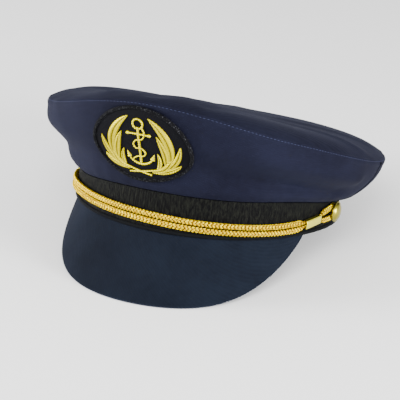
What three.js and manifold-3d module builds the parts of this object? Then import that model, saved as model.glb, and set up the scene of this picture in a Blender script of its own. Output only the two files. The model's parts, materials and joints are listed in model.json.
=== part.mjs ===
// A captain hat: soft crown, woven band, cloth-covered peak, gold cord and embroidered badge.
// Millimetres, +Z up. The front of the hat is at -Y and the wearer's left is at +X.
// The pieces are shaped in the hat's own frame, whose plane z = 0 is the lower edge of the band.
// One group then leans the hat back on the table, where it stands on its peak and its nape.
import * as THREE from "three";
import { mergeVertices } from "three/addons/utils/BufferGeometryUtils.js";
import Module from "manifold-3d";

const wasm = await Module();
wasm.setup();

// Clearance left between two pieces that touch on the real hat
const GAP = 0.3;
const DEGREE = Math.PI / 180;

// Band: the woven ring round the head, higher at the forehead than at the nape
const BAND_HALF_WIDTH = 87;
const BAND_HALF_LENGTH = 98.5;
const BAND_HEIGHT = 18.2;
const BAND_RAKE = 5.7;
const BAND_DIP = 2.2;
const BAND_EAR_RISE = 1.2;

// Where the cloth of the crown pulls the band's upper edge up or lets it sink: the place and the
// width as angles in degrees, the rise as a share of BAND_HEIGHT
const EDGE_WAVES = [
  { angle: -43, width: 24, rise: -0.145 },
  { angle: 58, width: 22, rise: 0.115 },
];
const BAND_WALL = 1.8;
const BAND_COLUMNS = 60;

// Piping: the dark roll sewn under the band
const PIPING_RADIUS = 1;
const PIPING_PROUD = 0.9;
const PIPING_SIDES = 6;
const PIPING_STEPS = 48;

// Crown: the side panel flares out from the band to the rim seam, the top panel is puffed
const CROWN_WALL = 1.8;
const CROWN_HEIGHT = 58;
const CROWN_OVERHANG = 25;
const CROWN_COLUMNS = 48;
const COLLAR_BOTTOM_SHARE = 0.55;
const TOP_PUFF = 10;
const TOP_PILLOW = 7.6;

// One row for each eighth of the way round, from the front towards the wearer's left.
// rise: height of the rim over the band, share of CROWN_HEIGHT.
// reach: how far the rim stands out from the band, share of CROWN_OVERHANG.
// foot, low, mid, high, lip: how far the side stands out at the levels below, share of reach.
// puff: height of the top over the rim, share of TOP_PUFF.
const CROWN_LEVELS = [0, 0.05, 0.13, 0.35, 0.65, 0.87, 1];
const CROWN_ROWS = [
  { angle: 0, rise: 1, reach: 1.01, foot: 0.09, low: 0.17, mid: 0.32, high: 0.72, lip: 0.93, puff: 1 },
  { angle: 45, rise: 0.77, reach: 0.96, foot: 0.1, low: 0.21, mid: 0.38, high: 0.78, lip: 0.94, puff: 1.18 },
  { angle: 90, rise: 0.56, reach: 1.07, foot: 0.17, low: 0.37, mid: 0.64, high: 0.9, lip: 0.99, puff: 1.18 },
  { angle: 135, rise: 0.54, reach: 1.01, foot: 0.19, low: 0.4, mid: 0.7, high: 0.92, lip: 0.99, puff: 0.85 },
  { angle: 180, rise: 0.46, reach: 1.22, foot: 0.17, low: 0.37, mid: 0.72, high: 0.9, lip: 0.98, puff: 1.05 },
  { angle: 225, rise: 0.55, reach: 1.04, foot: 0.18, low: 0.36, mid: 0.67, high: 0.9, lip: 0.99, puff: 0.96 },
  { angle: 270, rise: 0.68, reach: 1.01, foot: 0.17, low: 0.33, mid: 0.57, high: 0.94, lip: 1.04, puff: 1.08 },
  { angle: 315, rise: 0.75, reach: 1.01, foot: 0.14, low: 0.26, mid: 0.42, high: 0.9, lip: 0.99, puff: 1.13 },
];

// Soft folds of the side panel, each a hollow along a line from one place to another.
// Angles in degrees, levels as shares of the side's height, depth as a share of CROWN_OVERHANG
// and width as a share of CROWN_HEIGHT.
const FOLD_DEPTH = 0.1;
const SIDE_FOLDS = [
  { fromAngle: 24, fromLevel: 0.62, toAngle: 52, toLevel: 0.3, depth: 1.0, width: 0.12 },
  { fromAngle: 52, fromLevel: 0.3, toAngle: 86, toLevel: 0.36, depth: 0.8, width: 0.1 },
  { fromAngle: 5, fromLevel: 0.0, toAngle: 7, toLevel: 0.16, depth: 0.4, width: 0.05 },
  { fromAngle: 204, fromLevel: 0.3, toAngle: 232, toLevel: 0.62, depth: 0.8, width: 0.14 },
  { fromAngle: 296, fromLevel: 0.34, toAngle: 318, toLevel: 0.6, depth: 0.4, width: 0.1 },
];

// Shallow dents of the top panel: place as an angle and a share of the rim's reach,
// depth as a share of TOP_PUFF and width as a share of BAND_HALF_WIDTH.
const TOP_DENTS = [
  { angle: 212, reach: 0.62, depth: 0.16, width: 0.34 },
  { angle: 60, reach: 0.55, depth: 0.16, width: 0.3 },
  { angle: 320, reach: 0.4, depth: 0.14, width: 0.36 },
];

// Peak: a stiff cloth-covered shield whose flange is tucked up inside the band
const VISOR_WALL = 2.4;
const VISOR_LENGTH = 47;
const VISOR_SPAN = 69.5;
const VISOR_SLOPE = 57.5;
const VISOR_SIDE_SLOPE = 46;
const VISOR_TOE_IN = 0.07;
const VISOR_FULLNESS = 3.5;
const VISOR_ROUNDNESS = 1.6;
const VISOR_TUCK = 4;
const FLANGE_CLEARANCE = 0.5;
const FLANGE_TOP_SHARE = 0.4;
const VISOR_COLUMNS = 32;
const VISOR_ROWS = 6;

// Chin strap: one loop of cord, two strands across the front and round both buttons.
// The cord is pressed a little flat against the band. Its clearance is more than GAP, because
// the straight runs between its sections cut inside the band's curve.
const CORD_RADIUS = 2;
const CORD_PINCHED_RADIUS = 1;
const CORD_HALF_DEPTH = 1.6;
const CORD_CLEARANCE = 0.45;
const CORD_SIDES = 8;
const CORD_FRONT_STEPS = 14;
const CORD_SIDE_STEPS = 3;
const LOOP_STEPS = 5;
const TRIM_ANGLE = -2.5;
const BUTTON_SPAN = 90;
const BUTTON_LEVEL = 13.2;

// Height of the pair's middle, as a share of BUTTON_LEVEL, at shares of BUTTON_SPAN from the
// wearer's right button (-1) to the left one (+1)
const CORD_HANG = [
  { place: -1, level: 1 },
  { place: -0.87, level: 0.8 },
  { place: -0.74, level: 0.68 },
  { place: -0.44, level: 0.7 },
  { place: -0.2, level: 0.62 },
  { place: 0.04, level: 0.54 },
  { place: 0.22, level: 0.465 },
  { place: 0.42, level: 0.44 },
  { place: 0.6, level: 0.49 },
  { place: 0.73, level: 0.62 },
  { place: 0.85, level: 0.82 },
  { place: 1, level: 1 },
];

// Keepers: flat metal sleeves that pinch the two strands, each some way back from its button
const KEEPER_LEFT_BACK = 27.5;
const KEEPER_RIGHT_BACK = 20.5;
const KEEPER_LENGTH = 15;
const KEEPER_WALL = 0.5;
const KEEPER_SOFTNESS = 0.5;
const KEEPER_SIDES = 12;
const KEEPER_STEPS = 4;

// Side buttons: a domed disc on a shank that stands through the loop of the cord
const BUTTON_RADIUS = 6.9;
const BUTTON_DOME = 2.6;
const BUTTON_EDGE = 0.8;
const SHANK_RADIUS = 1.5;
const BUTTON_SIDES = 16;
const DOME_STEPS = 4;

// Badge: an oval felt patch with a thread rim, high on the front of the crown
const BADGE_ANGLE = -3.6;
const BADGE_LEVEL = 0.54;
const BADGE_HALF_WIDTH = 35;
const BADGE_HALF_HEIGHT = 27.5;
const PATCH_WALL = 1.4;
const RIM_RADIUS = 1.3;
const RIM_STEPS = 40;
const RIM_SIDES = 5;

// Embroidery: raised ridges of gold thread on the patch
const THREAD_EDGE = 0.4;
const THREAD_CREST = 0.9;
const THREAD_LAYER = 0.08;
const LEAF_STEPS = 4;
const STEM_STEPS = 4;
const RING_STEPS = 10;
const ARM_STEPS = 6;
const ROPE_STEPS = 18;

// The whole design is sewn a little above the patch's middle and slightly turned
const DESIGN_TURN = -1.8;
const DESIGN_UP = 1.1;
const WREATH_SPREAD = 0.965;
const ANCHOR_SHARE = 0.963;

// Laurel leaves of one branch: root, bow and tip of a curve, and half-width at its widest.
// x values are shares of BADGE_HALF_WIDTH, y values of BADGE_HALF_HEIGHT, half-widths of BADGE_HALF_WIDTH.
const LAUREL_LEAVES = [
  { name: "tall", rootX: 0.57, rootY: -0.45, bowX: 0.7, bowY: 0.27, tipX: 0.2, tipY: 0.68, half: 0.095 },
  { name: "inner", rootX: 0.47, rootY: -0.58, bowX: 0.56, bowY: -0.18, tipX: 0.35, tipY: 0.27, half: 0.074 },
  { name: "outer", rootX: 0.5, rootY: -0.63, bowX: 0.74, bowY: -0.35, tipX: 0.8, tipY: 0.13, half: 0.06 },
  { name: "lower", rootX: 0.26, rootY: -0.76, bowX: 0.6, bowY: -0.68, tipX: 0.78, tipY: -0.41, half: 0.055 },
  { name: "small", rootX: 0.3, rootY: -0.72, bowX: 0.43, bowY: -0.48, tipX: 0.34, tipY: -0.2, half: 0.042 },
  { name: "heart", rootX: 0.22, rootY: -0.76, bowX: 0.52, bowY: -0.66, tipX: 0.6, tipY: -0.3, half: 0.065 },
];
const STEM = { rootX: -0.22, rootY: -0.82, bowX: 0.12, bowY: -0.77, tipX: 0.42, tipY: -0.62, half: 0.022 };

// Anchor: sizes as shares of BADGE_HALF_HEIGHT
const ANCHOR = {
  ringRadius: 0.125,
  ringLevel: 0.53,
  shankTop: 0.45,
  shankFoot: -0.56,
  stockLevel: 0.265,
  stockHalf: 0.27,
  armRadius: 0.345,
  armCentre: -0.265,
  armSweep: 84,
  flukeLength: 0.15,
  flukeHalf: 0.064,
  thread: 0.026,
  shankHalf: 0.03,
  knob: 0.05,
};

// Rope that winds round the anchor: shares of BADGE_HALF_HEIGHT both ways
const ROPE_ROUTE = [
  { x: 0.11, y: 0.45 },
  { x: 0.16, y: 0.3 },
  { x: 0.1, y: 0.15 },
  { x: -0.07, y: 0.09 },
  { x: -0.145, y: -0.025 },
  { x: -0.09, y: -0.135 },
  { x: 0.04, y: -0.13 },
  { x: 0.14, y: -0.25 },
  { x: 0.09, y: -0.355 },
  { x: -0.06, y: -0.385 },
  { x: -0.17, y: -0.46 },
  { x: -0.2, y: -0.54 },
];
const ROPE_HALF = 0.019;

// Rest: how much of the cloth is pressed flat where the hat touches the table
const REST_FLAT = 0.6;

// Finishes
const NAVY_CLOTH = { color: 0x23283f, roughness: 0.92, metalness: 0 };
const BLACK_WEAVE = { color: 0x1f2022, roughness: 0.95, metalness: 0 };
const BLACK_FELT = { color: 0x101014, roughness: 1, metalness: 0 };
const GOLD_THREAD = { color: 0xd9b544, roughness: 0.5, metalness: 0.35 };
const GOLD_CORD = { color: 0xe9b53c, roughness: 0.55, metalness: 0.25 };
const PALE_BRASS = { color: 0xe1d68c, roughness: 0.3, metalness: 0.9 };

// Places round the hat

function at(angle, radius, height) {
  return new THREE.Vector3(radius * Math.sin(angle), -radius * Math.cos(angle), height);
}

function bandRadius(angle) {
  return 1 / Math.hypot(Math.sin(angle) / BAND_HALF_WIDTH, Math.cos(angle) / BAND_HALF_LENGTH);
}

function bandBottom(angle) {
  const ears = BAND_EAR_RISE * Math.sin(angle) ** 4;
  return ears - BAND_DIP * Math.max(Math.cos(angle), 0) ** 2;
}

function bandLevel(angle) {
  return BAND_HEIGHT + BAND_RAKE * Math.cos(angle);
}

function bandTop(angle) {
  let rise = 0;
  for (const wave of EDGE_WAVES) {
    const turns = (angle / DEGREE - wave.angle) / 360;
    const degrees = 360 * (turns - Math.round(turns));
    rise += wave.rise * Math.exp(-((degrees / wave.width) ** 2));
  }
  return bandLevel(angle) + rise * BAND_HEIGHT;
}

// The cloth edge of the band stands above its lower line by the piping and two clearances
function bandEdge(angle) {
  return bandBottom(angle) + 2 * PIPING_RADIUS + 2 * GAP;
}

function bandShare(angle, share) {
  return bandBottom(angle) + share * (bandTop(angle) - bandBottom(angle));
}

// A place on the outside of the band and the direction straight out of it
function onBand(angle, outward, height) {
  return at(angle, bandRadius(angle), height).addScaledVector(bandNormal(angle), outward);
}

function bandNormal(angle) {
  const x = Math.sin(angle) / BAND_HALF_WIDTH ** 2;
  const y = -Math.cos(angle) / BAND_HALF_LENGTH ** 2;
  return new THREE.Vector3(x, y, 0).normalize();
}

// Smooth curves through the tables

function hermite(from, to, fromSlope, toSlope, step, share) {
  const square = share * share;
  const cube = square * share;
  return (
    (2 * cube - 3 * square + 1) * from +
    (cube - 2 * square + share) * step * fromSlope +
    (3 * square - 2 * cube) * to +
    (cube - square) * step * toSlope
  );
}

function throughPoints(places, values, place) {
  const last = places.length - 1;
  const slopes = values.map((value, k) => {
    const before = Math.max(k - 1, 0);
    const after = Math.min(k + 1, last);
    return (values[after] - values[before]) / (places[after] - places[before]);
  });
  let k = 0;
  while (k < last - 1 && place > places[k + 1]) k += 1;
  const step = places[k + 1] - places[k];
  return hermite(values[k], values[k + 1], slopes[k], slopes[k + 1], step, (place - places[k]) / step);
}

function roundTable(rows, column, angle) {
  const count = rows.length;
  const turns = angle / (2 * Math.PI);
  const position = (turns - Math.floor(turns)) * count;
  const k = Math.floor(position) % count;
  const value = (shift) => rows[(k + shift + count) % count][column];
  const fromSlope = (value(1) - value(-1)) / 2;
  const toSlope = (value(2) - value(0)) / 2;
  return hermite(value(0), value(1), fromSlope, toSlope, 1, position - Math.floor(position));
}

// Crown surface

function rimRadius(angle) {
  return bandRadius(angle) + CROWN_OVERHANG * roundTable(CROWN_ROWS, "reach", angle);
}

function rimHeight(angle) {
  return bandLevel(angle) + GAP + CROWN_HEIGHT * roundTable(CROWN_ROWS, "rise", angle);
}

function foldDepth(angle, level) {
  let depth = 0;
  for (const fold of SIDE_FOLDS) {
    const aroundPerDegree = bandRadius(angle) * DEGREE;
    const runX = (fold.toAngle - fold.fromAngle) * aroundPerDegree;
    const runY = (fold.toLevel - fold.fromLevel) * CROWN_HEIGHT;
    const degrees = angle / DEGREE;
    const offset = degrees - fold.fromAngle - 360 * Math.round((degrees - fold.fromAngle) / 360);
    const x = offset * aroundPerDegree;
    const y = (level - fold.fromLevel) * CROWN_HEIGHT;
    const share = THREE.MathUtils.clamp((x * runX + y * runY) / (runX ** 2 + runY ** 2), 0, 1);
    const distance = Math.hypot(x - share * runX, y - share * runY);
    depth += fold.depth * Math.exp(-((distance / (fold.width * CROWN_HEIGHT)) ** 2));
  }
  return depth * FOLD_DEPTH * CROWN_OVERHANG * Math.min(1, 6 * level * (1 - level));
}

function crownSide(angle, level) {
  const row = ["foot", "low", "mid", "high", "lip"].map((name) => roundTable(CROWN_ROWS, name, angle));
  const reach = throughPoints(CROWN_LEVELS, [0, ...row, 1], level);
  const inner = bandRadius(angle);
  const radius = inner + (rimRadius(angle) - inner) * reach - foldDepth(angle, level);
  const foot = bandTop(angle) + GAP;
  return at(angle, radius, foot + (rimHeight(angle) - foot) * level);
}

function crownNormal(angle, level) {
  const step = 0.01;
  const across = crownSide(angle + step, level).sub(crownSide(angle - step, level));
  const upward = crownSide(angle, level + step).sub(crownSide(angle, level - step));
  return across.cross(upward).normalize();
}

const rimCentre = new THREE.Vector3();
for (let k = 0; k < CROWN_COLUMNS; k += 1) {
  const angle = (2 * Math.PI * k) / CROWN_COLUMNS;
  rimCentre.add(at(angle, rimRadius(angle), rimHeight(angle)));
}
rimCentre.divideScalar(CROWN_COLUMNS);

// The top panel: reach is 1 at the rim and 0 in the middle
function crownTop(angle, reach) {
  const rim = at(angle, rimRadius(angle), rimHeight(angle) + GAP);
  const point = rimCentre.clone().lerp(rim, reach);
  const puff = roundTable(CROWN_ROWS, "puff", angle) * reach + (1 - reach) * 1.05;
  point.z += TOP_PUFF * puff * (1 - reach ** TOP_PILLOW);
  for (const dent of TOP_DENTS) {
    const way = dent.angle * DEGREE;
    const middle = rimCentre.clone().lerp(at(way, rimRadius(way), 0), dent.reach);
    const distance = Math.hypot(point.x - middle.x, point.y - middle.y);
    const hollow = Math.exp(-((distance / (dent.width * BAND_HALF_WIDTH)) ** 2));
    point.z -= TOP_PUFF * dent.depth * hollow * (1 - reach ** TOP_PILLOW);
  }
  return point;
}

// Solids between two grids of points. Columns run round and rows run up, so that the outer
// face looks outwards. A ring joins its last column to its first, and a pole closes its last row.
function slab(outer, inner, { ring = false, pole = false } = {}) {
  const columns = outer.length;
  const rows = outer[0].length;
  const positions = [outer, inner].flat(2).flatMap((point) => point.toArray());
  const outside = (i, j) => (i % columns) * rows + j;
  const inside = (i, j) => columns * rows + outside(i, j);
  const indices = [];
  const quad = (a, b, c, d) => indices.push(a, b, c, a, c, d);
  const spans = ring ? columns : columns - 1;
  for (let i = 0; i < spans; i += 1) {
    for (let j = 0; j < rows - 1; j += 1) {
      quad(outside(i, j), outside(i + 1, j), outside(i + 1, j + 1), outside(i, j + 1));
      quad(inside(i, j), inside(i, j + 1), inside(i + 1, j + 1), inside(i + 1, j));
    }
    quad(outside(i + 1, 0), outside(i, 0), inside(i, 0), inside(i + 1, 0));
    if (pole) continue;
    quad(outside(i, rows - 1), outside(i + 1, rows - 1), inside(i + 1, rows - 1), inside(i, rows - 1));
  }
  if (!ring) {
    for (let j = 0; j < rows - 1; j += 1) {
      quad(outside(0, j), outside(0, j + 1), inside(0, j + 1), inside(0, j));
      const end = columns - 1;
      quad(outside(end, j + 1), outside(end, j), inside(end, j), inside(end, j + 1));
    }
  }
  const geometry = new THREE.BufferGeometry();
  geometry.setAttribute("position", new THREE.Float32BufferAttribute(positions, 3));
  geometry.setIndex(indices);
  return closedBody(geometry);
}

// Shared vertices are merged, and the flat triangles that this leaves at a pole are dropped
function closedBody(geometry) {
  geometry.deleteAttribute("normal");
  geometry.deleteAttribute("uv");
  const merged = mergeVertices(geometry, 1e-4);
  const kept = [];
  const index = merged.index.array;
  for (let k = 0; k < index.length; k += 3) {
    const [a, b, c] = [index[k], index[k + 1], index[k + 2]];
    if (a !== b && b !== c && c !== a) kept.push(a, b, c);
  }
  merged.setIndex(kept);
  merged.computeVertexNormals();
  return merged;
}

// The inner face of a wall of even thickness under a grid of outer points
function innerFace(outer, thickness, ring, firstWay = null, lastWay = null) {
  const columns = outer.length;
  const rows = outer[0].length;
  return outer.map((column, i) =>
    column.map((point, j) => {
      if (j === 0 && firstWay) return point.clone().add(firstWay(i));
      if (j === rows - 1 && lastWay) return point.clone().add(lastWay(i));
      const before = ring ? (i + columns - 1) % columns : Math.max(i - 1, 0);
      const after = ring ? (i + 1) % columns : Math.min(i + 1, columns - 1);
      const across = outer[after][j].clone().sub(outer[before][j]);
      const below = column[j].clone().sub(column[Math.max(j - 1, 0)]);
      const above = column[Math.min(j + 1, rows - 1)].clone().sub(column[j]);
      if (j === 0) below.copy(above);
      if (j === rows - 1) above.copy(below);
      const lower = across.clone().cross(below).normalize();
      const upper = across.clone().cross(above).normalize();
      const normal = lower.clone().add(upper).normalize();
      return point.clone().addScaledVector(normal, -thickness / Math.max(normal.dot(lower), 0.5));
    }),
  );
}

function columnsRound(count, make) {
  return Array.from({ length: count }, (_, k) => make((2 * Math.PI * k) / count));
}

function spread(from, to, count) {
  return Array.from({ length: count }, (_, k) => from + ((to - from) * k) / (count - 1));
}

// Join and cut
function solidOf(geometry) {
  const vertProperties = geometry.attributes.position.array;
  const triVerts = new Uint32Array(geometry.index.array);
  return new wasm.Manifold(new wasm.Mesh({ numProp: 3, vertProperties, triVerts }));
}

function geometryOf(solid) {
  const mesh = solid.getMesh();
  const geometry = new THREE.BufferGeometry();
  geometry.setAttribute("position", new THREE.Float32BufferAttribute(mesh.vertProperties, 3));
  geometry.setIndex(Array.from(mesh.triVerts));
  return closedBody(geometry);
}

function joined(geometries) {
  return geometryOf(geometries.map(solidOf).reduce((whole, next) => whole.add(next)));
}

// Rest: the lean and the lift that set the peak's lower edge and the piping at the nape on z = 0

function visorSlope(share) {
  return (VISOR_SLOPE + (VISOR_SIDE_SLOPE - VISOR_SLOPE) * share ** 2) * DEGREE;
}

// The peak leaves the band just under the piping, and clears it and the band's inner edge
function visorShoulder() {
  const slope = visorSlope(0);
  const flange = -(BAND_WALL + FLANGE_CLEARANCE);
  const rollX = PIPING_PROUD - PIPING_RADIUS;
  const rollZ = PIPING_RADIUS + GAP;
  const underRoll = rollZ - (PIPING_RADIUS + GAP - (rollX - flange) * Math.sin(slope)) / Math.cos(slope);
  const bandZ = 2 * PIPING_RADIUS + 2 * GAP;
  const underBand = bandZ - (GAP - (-BAND_WALL - flange) * Math.sin(slope)) / Math.cos(slope);
  return Math.min(underRoll, underBand);
}

// A place on the upper face of the peak: share runs from -1 to 1 across it, along from 0 to 1
function visorPoint(share, along) {
  const angle = share * VISOR_SPAN * DEGREE;
  const start = onBand(angle, -(BAND_WALL + FLANGE_CLEARANCE), bandBottom(angle) + visorShoulder());
  const ahead = new THREE.Vector3(0, -1 - VISOR_TOE_IN, 0);
  const heading = ahead.addScaledVector(bandNormal(angle), -VISOR_TOE_IN).normalize();
  const outline = Math.max(1 - Math.abs(share) ** VISOR_FULLNESS, 0) ** (1 / VISOR_ROUNDNESS);
  const length = VISOR_TUCK + VISOR_LENGTH * outline;
  const slope = visorSlope(share);
  start.addScaledVector(heading, along * length * Math.cos(slope));
  start.z -= along * length * Math.sin(slope);
  return start;
}

// The peak's lowest corner is the under side of its edge, one wall below its upper face
function restPose() {
  const slope = visorSlope(0);
  const tip = visorPoint(0, 1);
  const tipY = tip.y + VISOR_WALL * Math.sin(slope);
  const tipZ = tip.z - VISOR_WALL * Math.cos(slope);
  const roll = onBand(Math.PI, PIPING_PROUD - PIPING_RADIUS, bandBottom(Math.PI) + PIPING_RADIUS + GAP);
  const span = Math.hypot(roll.z - tipZ, roll.y - tipY);
  const lean = Math.acos(PIPING_RADIUS / span) - Math.atan2(roll.y - tipY, roll.z - tipZ);
  const lowest = tipZ * Math.cos(lean) - tipY * Math.sin(lean);
  return { lean, lift: -lowest - REST_FLAT };
}

const rest = restPose();
const hat = new THREE.Group();
hat.rotation.x = -rest.lean;
hat.position.z = rest.lift;
hat.updateMatrixWorld(true);

function pressedFlat(geometry) {
  const reach = 4 * BAND_HALF_LENGTH;
  const table = new THREE.BoxGeometry(reach, reach, BAND_HEIGHT);
  table.translate(0, 0, -BAND_HEIGHT / 2);
  table.applyMatrix4(hat.matrixWorld.clone().invert());
  return geometryOf(solidOf(geometry).subtract(solidOf(closedBody(table))));
}

function addPiece(name, geometry, finish) {
  const mesh = new THREE.Mesh(geometry, new THREE.MeshStandardMaterial(finish));
  mesh.name = name;
  hat.add(mesh);
  return mesh;
}

// Band
function makeBand() {
  const outer = columnsRound(BAND_COLUMNS, (angle) => [
    onBand(angle, 0, bandEdge(angle)),
    onBand(angle, 0, bandTop(angle)),
  ]);
  return slab(outer, innerFace(outer, BAND_WALL, true), { ring: true });
}

// Piping
function makePiping() {
  const proud = PIPING_PROUD - PIPING_RADIUS;
  const points = columnsRound(PIPING_STEPS, (angle) =>
    onBand(angle, proud, bandBottom(angle) + GAP + PIPING_RADIUS),
  );
  const route = new THREE.CatmullRomCurve3(points, true);
  const roll = new THREE.TubeGeometry(route, PIPING_STEPS, PIPING_RADIUS, PIPING_SIDES, true);
  return pressedFlat(closedBody(roll));
}

// Crown side: a collar inside the band, a fold over its top edge, then the flared panel
function makeCrownSide() {
  const tuck = -(BAND_WALL + GAP);
  const levels = [0, 0.05, 0.12, 0.2, 0.3, 0.41, 0.52, 0.63, 0.75, 0.87, 1];
  const outer = columnsRound(CROWN_COLUMNS, (angle) => [
    onBand(angle, tuck, bandShare(angle, COLLAR_BOTTOM_SHARE)),
    onBand(angle, tuck, bandTop(angle) + GAP),
    ...levels.map((level) => crownSide(angle, level)),
  ]);
  const inward = (i) => at((2 * Math.PI * i) / CROWN_COLUMNS, -CROWN_WALL, 0);
  return slab(outer, innerFace(outer, CROWN_WALL, true, null, inward), { ring: true });
}

// Crown top: a puffed panel whose edge lies on the side panel's edge
function makeCrownTop() {
  const reaches = [1, 0.98, 0.95, 0.9, 0.81, 0.65, 0.43, 0.2, 0];
  const outer = columnsRound(CROWN_COLUMNS, (angle) => reaches.map((reach) => crownTop(angle, reach)));
  const inward = (i) => at((2 * Math.PI * i) / CROWN_COLUMNS, -1.5 * CROWN_WALL, 0);
  const down = () => new THREE.Vector3(0, 0, -CROWN_WALL);
  return slab(outer, innerFace(outer, CROWN_WALL, true, inward, down), { ring: true, pole: true });
}

// Peak
function makeVisor() {
  const shares = spread(-1, 1, VISOR_COLUMNS + 1).map((share) => Math.sin((share * Math.PI) / 2));
  const outer = shares.map((share) => {
    const angle = share * VISOR_SPAN * DEGREE;
    const flangeTop = onBand(angle, -(BAND_WALL + FLANGE_CLEARANCE), bandShare(angle, FLANGE_TOP_SHARE));
    const alongs = spread(0, 1, VISOR_ROWS).reverse();
    return [...alongs.map((along) => visorPoint(share, along)), flangeTop];
  });
  return pressedFlat(slab(outer, innerFace(outer, VISOR_WALL, false)));
}

// Chin strap

// A place on the trim is a share of BUTTON_SPAN to either side of TRIM_ANGLE
function trimAngle(place) {
  return (TRIM_ANGLE + place * BUTTON_SPAN) * DEGREE;
}

// Middle of the pair of strands, half their spacing and their radius at a place
const shankReach = SHANK_RADIUS + GAP + CORD_RADIUS;
const keepers = [-1, 1].map((side) => {
  const arc = BUTTON_SPAN * DEGREE * bandRadius(trimAngle(side));
  const back = side < 0 ? KEEPER_RIGHT_BACK : KEEPER_LEFT_BACK;
  return { place: side * (1 - back / arc), half: KEEPER_LENGTH / 2 / arc };
});

function keeperBeside(place) {
  return place < 0 ? keepers[0] : keepers[1];
}

function pairLevel(place) {
  const places = CORD_HANG.map((row) => row.place);
  const levels = CORD_HANG.map((row) => row.level);
  return BUTTON_LEVEL * throughPoints(places, levels, place);
}

function pinch(place) {
  const keeper = keeperBeside(place);
  const away = (Math.abs(place - keeper.place) - 1.1 * keeper.half) / keeper.half;
  return 1 - THREE.MathUtils.smoothstep(away, 0, 0.7);
}

function strandRadius(place) {
  return CORD_RADIUS + (CORD_PINCHED_RADIUS - CORD_RADIUS) * pinch(place);
}

function strandOffset(place) {
  const keeper = keeperBeside(place);
  const touching = strandRadius(place) + GAP / 2;
  const start = Math.abs(keeper.place) + 1.1 * keeper.half;
  const opening = THREE.MathUtils.clamp((Math.abs(place) - start) / (1 - start), 0, 1);
  return touching + (shankReach - touching) * opening ** 0.8;
}

// A place on the cord's middle line, beside the band by half the cord's depth
function strandPoint(place, side) {
  const height = pairLevel(place) + side * strandOffset(place);
  return onBand(trimAngle(place), CORD_CLEARANCE + CORD_HALF_DEPTH, height);
}

function endLoop(side) {
  const turns = spread(0, 1, LOOP_STEPS + 2).slice(1, -1);
  return turns.map((turn) => {
    const around = turn * Math.PI;
    const beyond = (shankReach * Math.sin(around)) / bandRadius(trimAngle(side));
    const angle = trimAngle(side) + side * beyond;
    const height = BUTTON_LEVEL + side * shankReach * Math.cos(around);
    return onBand(angle, CORD_CLEARANCE + CORD_HALF_DEPTH, height);
  });
}

// Oval sections along a closed route, each square to it: half is taken along the band,
// and a section is never deeper, out from the band, than the cord lies
function closedTube(points, halves, sides) {
  const count = points.length;
  const sections = points.map((point, i) => {
    const way = points[(i + 1) % count].clone().sub(points[(i + count - 1) % count]).normalize();
    const outward = bandNormal(Math.atan2(point.x, -point.y));
    const first = outward.addScaledVector(way, -outward.dot(way)).normalize();
    const second = way.clone().cross(first);
    const depth = Math.min(halves[i], CORD_HALF_DEPTH);
    return spread(0, 2 * Math.PI, sides + 1).slice(0, -1).map((turn) =>
      point.clone()
        .addScaledVector(first, depth * Math.cos(turn))
        .addScaledVector(second, halves[i] * Math.sin(turn)),
    );
  });
  const positions = sections.flat().flatMap((point) => point.toArray());
  const indices = [];
  for (let i = 0; i < count; i += 1) {
    for (let j = 0; j < sides; j += 1) {
      const [a, b] = [i * sides + j, i * sides + ((j + 1) % sides)];
      const [c, d] = [((i + 1) % count) * sides + ((j + 1) % sides), ((i + 1) % count) * sides + j];
      indices.push(a, b, c, a, c, d);
    }
  }
  const geometry = new THREE.BufferGeometry();
  geometry.setAttribute("position", new THREE.Float32BufferAttribute(positions, 3));
  geometry.setIndex(indices);
  return closedBody(geometry);
}

// Sections lie closest together where the keepers pinch the strands, in step with the sleeves
function cordPlaces() {
  const [right, left] = keepers.map((keeper) => {
    const before = Math.abs(keeper.place) - 2 * keeper.half;
    const behind = Math.abs(keeper.place) + 1.5 * keeper.half;
    return [
      ...spread(before, behind, (7 * KEEPER_STEPS) / 4 + 1).slice(0, -1),
      ...spread(behind, 1, CORD_SIDE_STEPS + 1),
    ];
  });
  const middle = spread(-right[0], left[0], CORD_FRONT_STEPS + 1).slice(1, -1);
  return [...right.map((place) => -place).reverse(), ...middle, ...left];
}

function makeCord() {
  const places = cordPlaces();
  const upper = places.slice().reverse();
  const points = [
    ...upper.map((place) => strandPoint(place, 1)),
    ...endLoop(-1).reverse(),
    ...places.map((place) => strandPoint(place, -1)),
    ...endLoop(1).reverse(),
  ];
  const loopRadii = Array(LOOP_STEPS).fill(CORD_RADIUS);
  const radii = [...upper.map(strandRadius), ...loopRadii, ...places.map(strandRadius), ...loopRadii];
  return closedTube(points, radii, CORD_SIDES);
}

// Keepers: a rounded sleeve round the pinched pair, bent to the band
function makeKeeper(keeper) {
  const halfHeight = 2 * CORD_PINCHED_RADIUS + GAP / 2 + GAP + KEEPER_WALL;
  const halfDepth = CORD_PINCHED_RADIUS + GAP + KEEPER_WALL;
  const outward = CORD_CLEARANCE + Math.max(CORD_HALF_DEPTH, halfDepth);
  const rounded = (value) => Math.sign(value) * Math.abs(value) ** KEEPER_SOFTNESS;
  const places = spread(-1, 1, KEEPER_STEPS + 1);
  const outer = spread(0, 2 * Math.PI, KEEPER_SIDES + 1).slice(0, -1).map((turn) =>
    places.map((place) => {
      const along = keeper.place + place * keeper.half;
      const out = outward + halfDepth * rounded(Math.sin(turn));
      return onBand(trimAngle(along), out, pairLevel(along) + halfHeight * rounded(Math.cos(turn)));
    }),
  );
  return slab(outer, innerFace(outer, KEEPER_WALL, true), { ring: true });
}

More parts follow.
